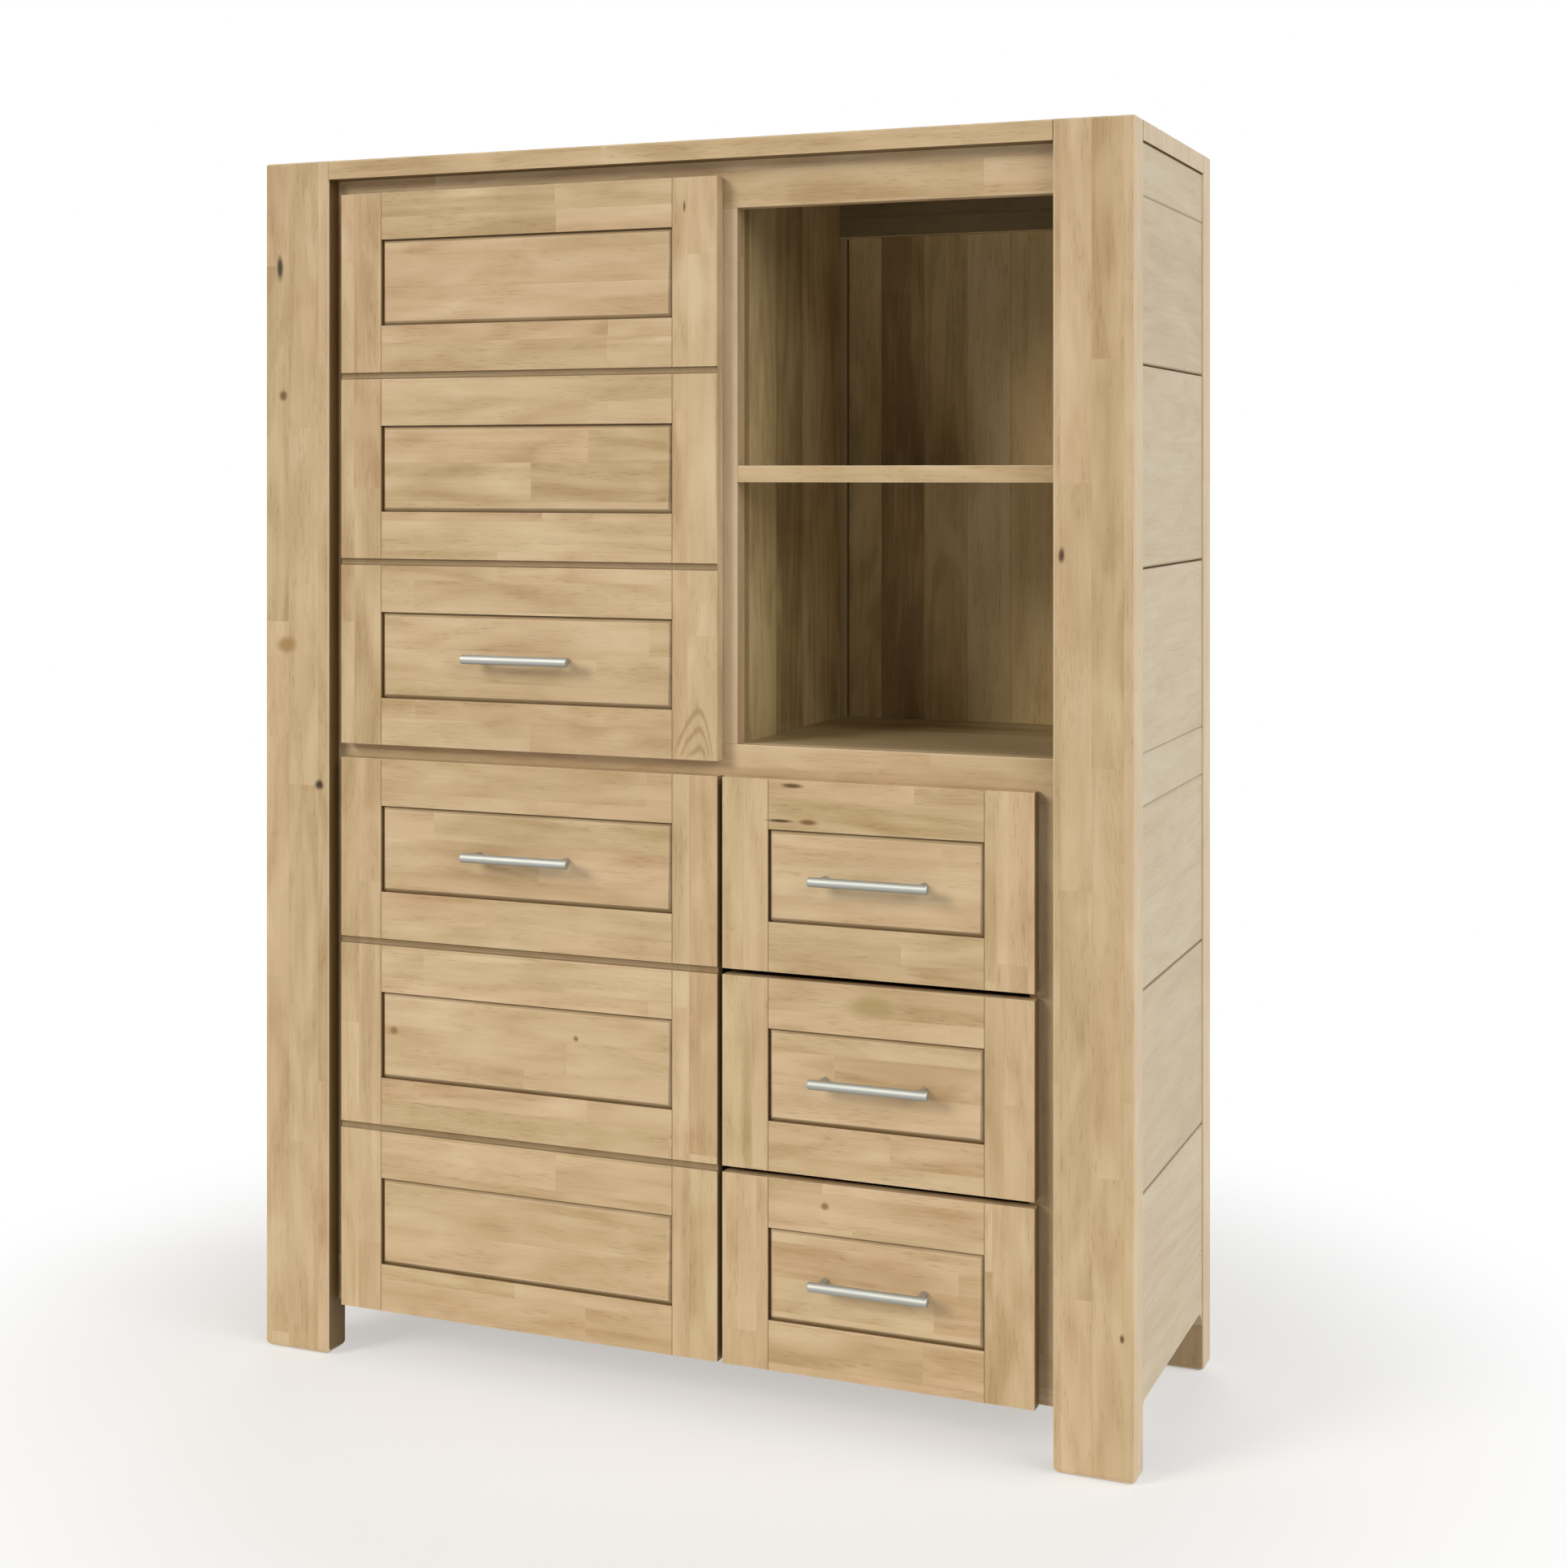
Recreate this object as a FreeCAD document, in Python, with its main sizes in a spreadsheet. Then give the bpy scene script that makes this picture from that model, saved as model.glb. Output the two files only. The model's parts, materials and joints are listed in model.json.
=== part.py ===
import FreeCAD, Part
import os
import re

# A solid oak highboard: four wide posts, a notched top, plank sides, a face frame, two doors of three
# framed fields on concealed hinges, two open compartments and three drawers on hardwood runners.
# The frame's origin is on the floor, under the middle of the whole box with its handles.
# +X is to the right of somebody facing the front, +Y goes to the back and +Z goes up.

# Driving sizes in millimetres
SIZES = {
    # whole object
    "overall_wide": 1200,
    "overall_high": 1600,
    "overall_deep": 420,
    # posts and top
    "post_wide": 100,
    "post_thick": 40,
    "post_round": 4,
    "foot_round": 8,
    "top_thick": 25,
    "top_round": 3,
    # sides: rails and planks between the posts, with the heights of their joints
    "side_inset": 3,
    "side_thick": 18,
    "side_top_rail_high": 64,
    "side_joint_1": 1311,
    "side_joint_2": 1069,
    "side_mid_rail_top": 848,
    "side_mid_rail_high": 62,
    "side_joint_3": 569,
    "side_joint_4": 328,
    "side_bottom_rail_top": 160,
    "side_bottom_rail_high": 79,
    "side_cove": 20,
    "side_cove_lip": 1,
    "side_edge": 1.5,
    "joint_wide": 2,
    "joint_deep": 8,
    # doors and drawer fronts
    "front_setback": 4,
    "front_thick": 18,
    "front_gap": 2,
    "front_bottom": 69,
    "lower_high": 733,
    "doors_apart": 19,
    "top_reveal": 21,
    "door_reveal": 17,
    "door_wide": 549,
    "column_gap": 7,
    "drawer_reveal": 23,
    "drawer_gap": 8,
    "member_wide": 62,
    "field_gap": 9,
    "field_gap_floor": 6,
    "field_gap_deep": 3,
    # panels in the fronts
    "panel_setback": 1,
    "panel_quirk": 1.5,
    "panel_bevel": 4.5,
    "slot_setback": 6,
    "slot_wide": 6.6,
    "slot_deep": 8,
    "panel_play": 0.3,
    # face frame
    "frame_thick": 22,
    "frame_rail_high": 60,
    "door_overlay": 21,
    "drawer_overlay": 12,
    "mid_overlay": 20,
    # inside
    "board_thick": 18,
    "open_shelf_thick": 21,
    "open_shelf_top": 1191,
    "upper_shelf_top": 1190,
    "lower_shelf_top": 470,
    "shelf_setback": 20,
    "shelf_play": 1,
    "cleat_wide": 15,
    "cleat_high": 20,
    "back_thick": 10,
    "back_inset": 10,
    "batten_wide": 10,
    "back_rail_thick": 15,
    "back_rail_high": 65,
    # drawer boxes
    "box_side_thick": 15,
    "box_bottom_thick": 6,
    "box_bottom_up": 10,
    "box_groove": 5,
    "box_play": 5,
    "box_side_play": 2,
    "box_rear_gap": 28,
    "runner_high": 16,
    "runner_out": 9.5,
    "runner_groove": 8.5,
    "runner_play": 0.3,
    "runner_stop": 2,
    # handles
    "handle_long": 154,
    "handle_radius": 6,
    "handle_spacing": 128,
    "handle_leg_radius": 4.5,
    "handle_reach": 32,
    # concealed hinges, measured from the door's left back corner
    "hinge_from_end": 110,
    "cup_edge": 4,
    "cup_radius": 17.5,
    "cup_deep": 11.5,
    "cup_wall": 1,
    "cup_play": 0.1,
    "wing_wide": 15,
    "wing_long": 52,
    "wing_thick": 1.2,
    "cup_pin_in": 11.5,
    "cup_pin_down": 4.5,
    "link_bend_in": 19,
    "link_bend_down": 7,
    "arm_pin_in": 38,
    "arm_pin_up": 7,
    "pin_radius": 1.5,
    "pin_play": 0.05,
    "eye_radius": 3.2,
    "link_thick": 3,
    "link_wide": 11,
    "arm_side_play": 0.5,
    "arm_plate": 1.5,
    "arm_cheek_half": 4,
    "arm_base_long": 48,
}

# Places and lengths that follow from the driving sizes
PLACES = {
    # planes from front to back
    "handle_out": "handle_reach - front_setback - panel_setback",
    "front": "(handle_out - overall_deep) / 2",
    "back": "front + overall_deep",
    "front_face": "front + front_setback",
    "front_back": "front_face + front_thick",
    "panel_face": "front_face + panel_setback",
    "slot_front": "front_face + slot_setback",
    "slot_back": "slot_front + slot_wide",
    "frame_front": "front_back + front_gap",
    "frame_back": "frame_front + frame_thick",
    "post_back": "front + post_thick",
    "rear_post_front": "back - post_thick",
    "back_panel_back": "back - back_inset",
    "back_panel_front": "back_panel_back - back_thick",
    "box_back": "back_panel_front - box_rear_gap",
    # planes from left to right
    "left": "-overall_wide / 2",
    "right": "overall_wide / 2",
    "left_post_in": "left + post_wide",
    "right_post_in": "right - post_wide",
    "left_wall_out": "left + side_inset",
    "left_wall_in": "left_wall_out + side_thick",
    "right_wall_out": "right - side_inset",
    "right_wall_in": "right_wall_out - side_thick",
    "door_left": "left_post_in + door_reveal",
    "door_right": "door_left + door_wide",
    "drawer_left": "door_right + column_gap",
    "drawer_right": "right_post_in - drawer_reveal",
    "cupboard_left": "door_left + door_overlay",
    "cupboard_right": "door_right - door_overlay",
    "drawers_left": "drawer_left + drawer_overlay",
    "drawers_right": "drawer_right - drawer_overlay",
    "partition_left": "drawers_left - board_thick",
    "door_middle": "(door_left + door_right) / 2",
    "drawer_middle": "(drawer_left + drawer_right) / 2",
    # planes from the floor up
    "top_under": "overall_high - top_thick",
    "upper_bottom": "front_bottom + lower_high + doors_apart",
    "upper_high": "top_under - top_reveal - upper_bottom",
    "mid_rail_top": "upper_bottom + mid_overlay",
    "mid_rail_bottom": "front_bottom + lower_high - mid_overlay",
    "mid_board_bottom": "mid_rail_top - board_thick",
    "top_rail_bottom": "top_under - frame_rail_high",
    "bottom_rail_top": "front_bottom + frame_rail_high",
    "bottom_board_bottom": "bottom_rail_top - board_thick",
    "back_rail_bottom": "top_under - back_rail_high",
    "back_joint": "mid_rail_top - board_thick / 2",
    "open_shelf_bottom": "open_shelf_top - open_shelf_thick",
    "drawer_high": "(lower_high - 2 * drawer_gap) / 3",
    "drawer_step": "drawer_high + drawer_gap",
    "box_up": "frame_rail_high + box_play",
    "box_high": "drawer_high - box_up - mid_overlay - box_play",
    # drawer box sides
    "box_left": "drawers_left + box_side_play",
    "box_right": "drawers_right - box_side_play",
    "box_inner_left": "box_left + box_side_thick",
    "box_inner_right": "box_right - box_side_thick",
    "runner_half": "runner_high / 2 + runner_play",
    # hinge pins, seen from above
    "cup_x": "door_left + cup_edge + cup_radius",
    "cup_pin_x": "door_left + cup_pin_in",
    "cup_pin_y": "front_back - cup_pin_down",
    "bend_x": "door_left + link_bend_in",
    "bend_y": "front_back - link_bend_down",
    "arm_pin_x": "door_left + arm_pin_in",
    "arm_pin_y": "front_back + arm_pin_up",
    "arm_inner": "link_wide / 2 + arm_side_play",
    "arm_outer": "arm_inner + arm_plate",
    "arm_web": "arm_pin_y + arm_cheek_half",
}

NEAR = 1e-4
WORD = re.compile(r"[a-z][a-z0-9_]*")
PIECES = []

doc = FreeCAD.newDocument("highboard")
sheet = doc.addObject("Spreadsheet::Sheet", "Sizes")
for row, (name, number) in enumerate(SIZES.items(), 1):
    sheet.set(f"A{row}", name)
    sheet.set(f"B{row}", str(number))
    sheet.setAlias(f"B{row}", name)
doc.recompute()


def written_out(text):
    """A formula with its places written out until only names of the sheet are left."""
    def swap(match):
        word = match.group(0)
        if word in PLACES:
            return "(" + written_out(PLACES[word]) + ")"
        if word in SIZES:
            return "Sizes." + word
        return word
    return WORD.sub(swap, text)


def bind(item, prop, text):
    """Ties one property of an object to a formula of the sheet's names."""
    item.setExpression(prop, written_out(text))


def box(name, x, y, z):
    """A plain board between two formulas on each axis."""
    item = doc.addObject("Part::Box", name)
    for prop, axis, (low, high) in (("Length", "x", x), ("Width", "y", y), ("Height", "z", z)):
        bind(item, prop, f"({high}) - ({low})")
        bind(item, "Placement.Base." + axis, low)
    return item


def rod(name, axis, middle, radius, span):
    """A round bar along one axis, from one formula to another, about a middle on the other axes."""
    item = doc.addObject("Part::Cylinder", name)
    turns = {"x": (FreeCAD.Vector(0, 1, 0), 90), "y": (FreeCAD.Vector(1, 0, 0), -90), "z": (FreeCAD.Vector(0, 0, 1), 0)}
    item.Placement = FreeCAD.Placement(FreeCAD.Vector(), FreeCAD.Rotation(*turns[axis]))
    low, high = span
    bind(item, "Radius", radius)
    bind(item, "Height", f"({high}) - ({low})")
    for word, text in {**middle, axis: low}.items():
        bind(item, "Placement.Base." + word, text)
    return item


def bar(name, start, end, thick, z):
    """A flat bar of one thickness from a start point to an end point, seen from above."""
    item = doc.addObject("Part::Box", name)
    across, along = (f"(({e}) - ({s}))" for s, e in zip(start, end))
    turn = f"atan2({along}; {across})"
    bind(item, "Length", f"hypot({across}; {along})")
    bind(item, "Width", thick)
    bind(item, "Height", f"({z[1]}) - ({z[0]})")
    bind(item, "Placement.Base.x", f"({start[0]}) + ({thick}) / 2 * sin({turn})")
    bind(item, "Placement.Base.y", f"({start[1]}) - ({thick}) / 2 * cos({turn})")
    bind(item, "Placement.Base.z", z[0])
    bind(item, "Placement.Rotation.Angle", turn)
    return item


def join(name, *items):
    """One solid from several that meet."""
    item = doc.addObject("Part::MultiFuse", name)
    item.Shapes = list(items)
    item.Refine = True
    return item


def cut(name, base, *tools):
    """A solid with one or more others taken out of it."""
    item = doc.addObject("Part::Cut", name)
    item.Base = base
    item.Tool = tools[0] if len(tools) == 1 else join(name + "_tools", *tools)
    return item


def edge_numbers(shape, run, sides):
    """Numbers of the straight edges along one axis that lie at the named sides of the shape's box."""
    whole = shape.BoundBox
    found = []
    for number, edge in enumerate(shape.Edges, 1):
        span = edge.BoundBox
        straight = all(getattr(span, axis + "Length") < NEAR for axis in "XYZ" if axis != run)
        placed = all(abs(getattr(span, axis + "Min") - getattr(whole, axis + side)) < NEAR for axis, side in sides.items())
        if straight and placed:
            found.append(number)
    return found


def ease(kind, name, base, picks):
    """Rounds or bevels the picked edges: each pick is an axis, the sides it lies at and a size's name."""
    base.recompute(True)
    item = doc.addObject(kind, name)
    item.Base = base
    item.Edges = [
        (number, sheet.get(size), sheet.get(size))
        for run, sides, size in picks
        for number in edge_numbers(base.Shape, run, sides)
    ]
    return item


def piece(label, *items):
    """Names a sub-part. Several solids of one kind share a node."""
    item = items[0]
    if len(items) > 1:
        item = doc.addObject("Part::Compound", label + "_set")
        item.Links = list(items)
    item.Label = label
    PIECES.append(item)


def make_posts():
    """Four wide board posts that reach from the floor to the top face."""
    for depth, y, face, inner in (
        ("front", ("front", "post_back"), "Min", "Max"),
        ("rear", ("rear_post_front", "back"), "Max", "Min"),
    ):
        for side, x, outer in (("left", ("left", "left_post_in"), "Min"), ("right", ("right_post_in", "right"), "Max")):
            name = f"{depth}_{side}_post"
            near = "Max" if outer == "Min" else "Min"
            blank = box(name + "_blank", x, y, ("0", "overall_high"))
            upright = [
                ("Z", {"X": outer, "Y": face}, "post_round"),
                ("Z", {"X": near, "Y": face}, "post_round"),
                ("Z", {"X": outer, "Y": inner}, "post_round"),
            ]
            foot = [("X", {"Z": "Min"}, "foot_round"), ("Y", {"Z": "Min"}, "foot_round")]
            head = [("X", {"Z": "Max", "Y": face}, "top_round"), ("Y", {"Z": "Max", "X": outer}, "top_round")]
            piece(name, ease("Part::Fillet", name, blank, upright + foot + head))


def make_top():
    """The top board, notched round the posts and flush with them, with its upper edges eased."""
    whole = box("top_blank", ("left", "right"), ("front", "back"), ("top_under", "overall_high"))
    eased = ease("Part::Fillet", "top_eased", whole, [("X", {"Z": "Max"}, "top_round"), ("Y", {"Z": "Max"}, "top_round")])
    notches = [
        box(f"top_notch_{number}", x, y, ("top_under", "overall_high"))
        for number, (x, y) in enumerate(
            (x, y)
            for x in (("left", "left_post_in"), ("right_post_in", "right"))
            for y in (("front", "post_back"), ("rear_post_front", "back"))
        )
    ]
    piece("top_panel", cut("top_panel", eased, *notches))


def make_sides():
    """Rails and planks between a front and a rear post, with an open joint where two planks meet."""
    run = ("post_back", "rear_post_front")
    low_edge = "side_bottom_rail_top - side_bottom_rail_high"
    cove_low = f"{low_edge} - side_cove"
    for side, x, outer, joint_x in (
        ("left", ("left_wall_out", "left_wall_in"), "Min", ("left_wall_out", "left_wall_out + joint_deep")),
        ("right", ("right_wall_in", "right_wall_out"), "Max", ("right_wall_out - joint_deep", "right_wall_out")),
    ):
        edges = [("Y", {"X": outer, "Z": "Min"}, "side_edge"), ("Y", {"X": outer, "Z": "Max"}, "side_edge")]

        def board(name, low, high, open_top=False):
            blank = box(f"{side}_{name}_blank", x, run, (low, high))
            if open_top:
                rebate = box(f"{side}_{name}_rebate", joint_x, run, (f"{high} - joint_wide", high))
                blank = cut(f"{side}_{name}_rebated", blank, rebate)
            return ease("Part::Chamfer", f"{side}_{name}", blank, edges[:1] if open_top else edges)

        bottom = box(f"{side}_bottom_blank", x, run, (cove_low, "side_bottom_rail_top"))
        bevelled = ease("Part::Chamfer", f"{side}_bottom_bevelled", bottom, edges[1:])
        ends = ("post_back + side_cove + side_cove_lip", "rear_post_front - side_cove - side_cove_lip")
        coves = [
            rod(f"{side}_cove_{number}", "x", {"y": end, "z": cove_low}, "side_cove", x)
            for number, end in enumerate(ends)
        ]
        slot = box(f"{side}_bottom_slot", x, ends, (cove_low, low_edge))
        bottom_rail = cut(f"{side}_bottom_rail", bevelled, slot, *coves)
        piece(
            f"{side}_side_rails",
            board("top_rail", "top_under - side_top_rail_high", "top_under"),
            board("mid_rail", "side_mid_rail_top - side_mid_rail_high", "side_mid_rail_top"),
            bottom_rail,
        )
        joints = [
            ("side_joint_1", "top_under - side_top_rail_high", False),
            ("side_joint_2", "side_joint_1", True),
            ("side_mid_rail_top", "side_joint_2", True),
            ("side_joint_3", "side_mid_rail_top - side_mid_rail_high", False),
            ("side_joint_4", "side_joint_3", True),
            ("side_bottom_rail_top", "side_joint_4", True),
        ]
        planks = [board(f"plank_{number}", *joint) for number, joint in enumerate(joints, 1)]
        piece(f"{side}_side_planks", *planks)


def make_face_frame():
    """Rails from post to post with stiles between them, behind the doors and drawers."""
    deep = ("frame_front", "frame_back")
    between_posts = ("left_post_in", "right_post_in")
    piece("frame_top_rail", box("frame_top_rail", between_posts, deep, ("top_rail_bottom", "top_under")))
    piece("frame_mid_rail", box("frame_mid_rail", between_posts, deep, ("mid_rail_bottom", "mid_rail_top")))
    piece("frame_bottom_rail", box("frame_bottom_rail", between_posts, deep, ("front_bottom", "bottom_rail_top")))
    upper = ("mid_rail_top", "top_rail_bottom")
    lower = ("bottom_rail_top", "mid_rail_bottom")
    for name, x, heights in (
        ("frame_left_stiles", ("left_post_in", "cupboard_left"), (upper, lower)),
        ("frame_centre_stile", ("cupboard_right", "drawers_left"), (upper,)),
        ("frame_right_stile", ("drawers_right", "right_post_in"), (lower,)),
    ):
        piece(name, *[box(f"{name}_{number}", x, deep, z) for number, z in enumerate(heights)])


def make_inside():
    """Partition, floors, shelves and cleats behind the face frame."""
    deep = ("frame_back", "back_panel_front")
    rear_posts = [
        box("left_post_space", ("left", "left_post_in"), ("rear_post_front", "back"), ("0", "overall_high")),
        box("right_post_space", ("right_post_in", "right"), ("rear_post_front", "back"), ("0", "overall_high")),
    ]
    front_post = box("front_post_space", ("right_post_in", "right"), ("front", "post_back"), ("0", "overall_high"))
    partition = ("partition_left", "drawers_left")
    piece("partition", box("partition", partition, deep, ("bottom_rail_top", "top_under")))
    drawer_wall = ("drawers_right", "drawers_right + board_thick")
    piece("drawer_side_panel", box("drawer_side_panel", drawer_wall, deep, ("bottom_rail_top", "mid_board_bottom")))

    bottom = box("bottom_blank", ("left_wall_in", "right_wall_in"), deep, ("bottom_board_bottom", "bottom_rail_top"))
    piece("bottom_board", cut("bottom_board", bottom, *rear_posts))
    floor = ("mid_board_bottom", "mid_rail_top")
    left_floor = box("left_floor_blank", ("left_wall_in", "partition_left"), deep, floor)
    piece("mid_board_left", cut("mid_board_left", left_floor, rear_posts[0]))
    right_floor = box("right_floor_blank", ("drawers_left", "right_wall_in"), deep, floor)
    piece("mid_board_right", cut("mid_board_right", right_floor, rear_posts[1]))
    open_deep = ("frame_front", "back_panel_front")
    open_high = ("open_shelf_bottom", "open_shelf_top")
    open_shelf = box("open_shelf_blank", ("drawers_left", "right_wall_in"), open_deep, open_high)
    piece("open_shelf", cut("open_shelf", open_shelf, rear_posts[1], front_post))

    wide = ("left_wall_in + shelf_play", "partition_left - shelf_play")
    shelf_deep = ("frame_back + shelf_setback", "rear_post_front - shelf_play")
    cleats = []
    for level in ("upper", "lower"):
        under = f"{level}_shelf_top - board_thick"
        height = (f"{under} - cleat_high", under)
        piece(f"{level}_cupboard_shelf", box(f"{level}_shelf", wide, shelf_deep, (under, f"{level}_shelf_top")))
        left_cleat = ("left_wall_in", "left_wall_in + cleat_wide")
        right_cleat = ("partition_left - cleat_wide", "partition_left")
        cleats.append(box(f"{level}_left_cleat", left_cleat, shelf_deep, height))
        cleats.append(box(f"{level}_right_cleat", right_cleat, shelf_deep, height))
    piece("shelf_cleats", *cleats)


def make_back():
    """Two back boards between the rear posts, with rails at the top and a strip in the open corner."""
    wide = ("left_post_in", "right_post_in")
    deep = ("back_panel_front", "back_panel_back")
    piece("lower_back_panel", box("lower_back_panel", wide, deep, ("front_bottom", "back_joint")))
    piece("upper_back_panel", box("upper_back_panel", wide, deep, ("back_joint", "top_under")))
    rail_deep = ("back_panel_front - back_rail_thick", "back_panel_front")
    rail_high = ("back_rail_bottom", "top_under")
    left_rail = box("left_back_rail", ("left_post_in", "partition_left"), rail_deep, rail_high)
    right_rail = box("right_back_rail", ("drawers_left", "right_post_in"), rail_deep, rail_high)
    piece("back_top_rails", left_rail, right_rail)
    strip_wide = ("drawers_left", "drawers_left + batten_wide")
    strip_deep = ("back_panel_front - batten_wide", "back_panel_front")
    low_strip = box("low_strip", strip_wide, strip_deep, ("mid_rail_top", "open_shelf_bottom"))
    high_strip = box("high_strip", strip_wide, strip_deep, ("open_shelf_top", "back_rail_bottom"))
    piece("corner_strips", low_strip, high_strip)


def panel(name, x, z):
    """A raised panel: a tongue all round in the frame's slots, and a bevelled field in front of it."""
    (x_low, x_high), (z_low, z_high) = x, z
    reach = "(slot_deep - panel_play)"
    tongue = box(
        name + "_tongue",
        (f"{x_low} - {reach}", f"{x_high} + {reach}"),
        ("slot_front + panel_play", "slot_back - panel_play"),
        (f"{z_low} - {reach}", f"{z_high} + {reach}"),
    )
    blank = box(
        name + "_blank",
        (f"{x_low} + panel_quirk", f"{x_high} - panel_quirk"),
        ("panel_face", "slot_back - panel_play"),
        (f"{z_low} + panel_quirk", f"{z_high} - panel_quirk"),
    )
    rim = [("X", {"Y": "Min"}, "panel_bevel"), ("Z", {"Y": "Min"}, "panel_bevel")]
    return join(name, tongue, ease("Part::Chamfer", name + "_field", blank, rim))


def framed_front(name, x, low, fields, gap, high, bores=()):
    """Stiles, rails and panels of one front of stacked fields: the stiles, the rails, the panels."""
    left, right = x
    inner = (f"{left} + member_wide", f"{right} - member_wide")
    field = f"(({high} - {fields - 1} * {gap}) / {fields})"
    bottoms = [f"({low} + {number} * ({field} + {gap}))" for number in range(fields)]
    openings = [(f"{bottom} + member_wide", f"{bottom} + {field} - member_wide") for bottom in bottoms]
    deep = ("front_face", "front_back")
    slot = ("slot_front", "slot_back")
    whole = (low, f"{low} + {high}")
    tenon = ("slot_front + panel_play", "slot_back - panel_play")
    reach = "(slot_deep - panel_play)"

    grooves = []
    for number, bottom in enumerate(bottoms[1:], 1):
        middle = f"({bottom} - {gap} / 2)"
        groove = doc.addObject("Part::Wedge", f"{name}_groove_{number}")
        for prop, text in {
            "Xmin": left, "Xmax": right, "X2min": left, "X2max": right,
            "Ymin": "front_face", "Ymax": "front_face + field_gap_deep",
            "Zmin": f"{middle} - {gap} / 2", "Zmax": f"{middle} + {gap} / 2",
            "Z2min": f"{middle} - field_gap_floor / 2", "Z2max": f"{middle} + field_gap_floor / 2",
        }.items():
            bind(groove, prop, text)
        grooves.append(groove)

    stiles = []
    for side, across, slot_across, holes in (
        ("left", (left, inner[0]), (f"{inner[0]} - slot_deep", inner[0]), bores),
        ("right", (inner[1], right), (inner[1], f"{inner[1]} + slot_deep"), ()),
    ):
        blank = box(f"{name}_{side}_stile_blank", across, deep, whole)
        stile_slot = box(f"{name}_{side}_stile_slot", slot_across, slot, whole)
        stiles.append(cut(f"{name}_{side}_stile", blank, stile_slot, *grooves, *holes))

    rails = []
    rail_heights = [(low, openings[0][0])]
    rail_heights += [(below[1], above[0]) for below, above in zip(openings, openings[1:])]
    rail_heights += [(openings[-1][1], whole[1])]
    for number, (bottom, top) in enumerate(rail_heights):
        rail = f"{name}_rail_{number}"
        blank = box(rail + "_blank", inner, deep, (bottom, top))
        tongue = box(rail + "_tenon", (f"{inner[0]} - {reach}", f"{inner[1]} + {reach}"), tenon, (bottom, top))
        tools = []
        if number > 0:
            tools.append(box(rail + "_low_slot", (left, right), slot, (bottom, f"{bottom} + slot_deep")))
        if number < fields:
            tools.append(box(rail + "_high_slot", (left, right), slot, (f"{top} - slot_deep", top)))
        if 0 < number < fields:
            tools.append(grooves[number - 1])
        rails.append(cut(rail, join(rail + "_whole", blank, tongue), *tools))

    panels = [panel(f"{name}_panel_{number}", inner, z) for number, z in enumerate(openings)]
    return stiles, rails, panels


def handle(name, middle_x, middle_z):
    """A round bar on two legs, in front of a panel's face."""
    bar_y = "panel_face - handle_reach + handle_radius"
    half = "handle_long / 2"
    grip = rod(name + "_bar", "x", {"y": bar_y, "z": middle_z}, "handle_radius", (f"{middle_x} - {half}", f"{middle_x} + {half}"))
    legs = [
        rod(f"{name}_leg_{number}", "y", {"x": f"{middle_x} {sign} handle_spacing / 2", "z": middle_z},
            "handle_leg_radius", (bar_y, "panel_face"))
        for number, sign in enumerate("-+")
    ]
    return join(name, grip, *legs)


def hinge_heights(low, high):
    """The middle heights of a door's two hinges."""
    return [f"{low} + hinge_from_end", f"{low} + {high} - hinge_from_end"]


def cup_bore(name, z):
    """The round pocket for a hinge cup in the back of a door's stile."""
    deep = ("front_back - cup_deep - cup_play", "front_back")
    return rod(name, "y", {"x": "cup_x", "z": z}, "cup_radius + cup_play", deep)


def hinge_cup(name, z):
    """A pressed cup with two wings on the door's back and a pin across its hollow."""
    outer = rod(name + "_outer", "y", {"x": "cup_x", "z": z}, "cup_radius", ("front_back - cup_deep", "front_back"))
    wings = box(
        name + "_wings",
        ("cup_x - wing_wide / 2", "cup_x + wing_wide / 2"),
        ("front_back", "front_back + wing_thick"),
        (f"{z} - wing_long / 2", f"{z} + wing_long / 2"),
    )
    hollow_deep = ("front_back - cup_deep + cup_wall", "front_back + wing_thick")
    hollow = rod(name + "_hollow", "y", {"x": "cup_x", "z": z}, "cup_radius - cup_wall", hollow_deep)
    shell = cut(name + "_shell", join(name + "_blank", outer, wings), hollow)
    off_middle = "(cup_edge + cup_radius - cup_pin_in)"
    half = f"sqrt((cup_radius - cup_wall / 2) * (cup_radius - cup_wall / 2) - {off_middle} * {off_middle})"
    pin = rod(name + "_pin", "z", {"x": "cup_pin_x", "y": "cup_pin_y"}, "pin_radius", (f"{z} - {half}", f"{z} + {half}"))
    return join(name, shell, pin)


def hinge_link(name, z):
    """The bent link between the arm's pin and the cup's pin."""
    height = (f"{z} - link_wide / 2", f"{z} + link_wide / 2")
    pins = (("cup_pin_x", "cup_pin_y"), ("arm_pin_x", "arm_pin_y"))
    bend = ("bend_x", "bend_y")
    parts = [bar(f"{name}_bar_{number}", pin, bend, "link_thick", height) for number, pin in enumerate(pins)]
    parts.append(rod(name + "_knee", "z", {"x": bend[0], "y": bend[1]}, "link_thick / 2", height))
    holes = []
    for number, (x, y) in enumerate(pins):
        parts.append(rod(f"{name}_eye_{number}", "z", {"x": x, "y": y}, "eye_radius", height))
        holes.append(rod(f"{name}_hole_{number}", "z", {"x": x, "y": y}, "pin_radius + pin_play", height))
    return cut(name, join(name + "_blank", *parts), *holes)


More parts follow.
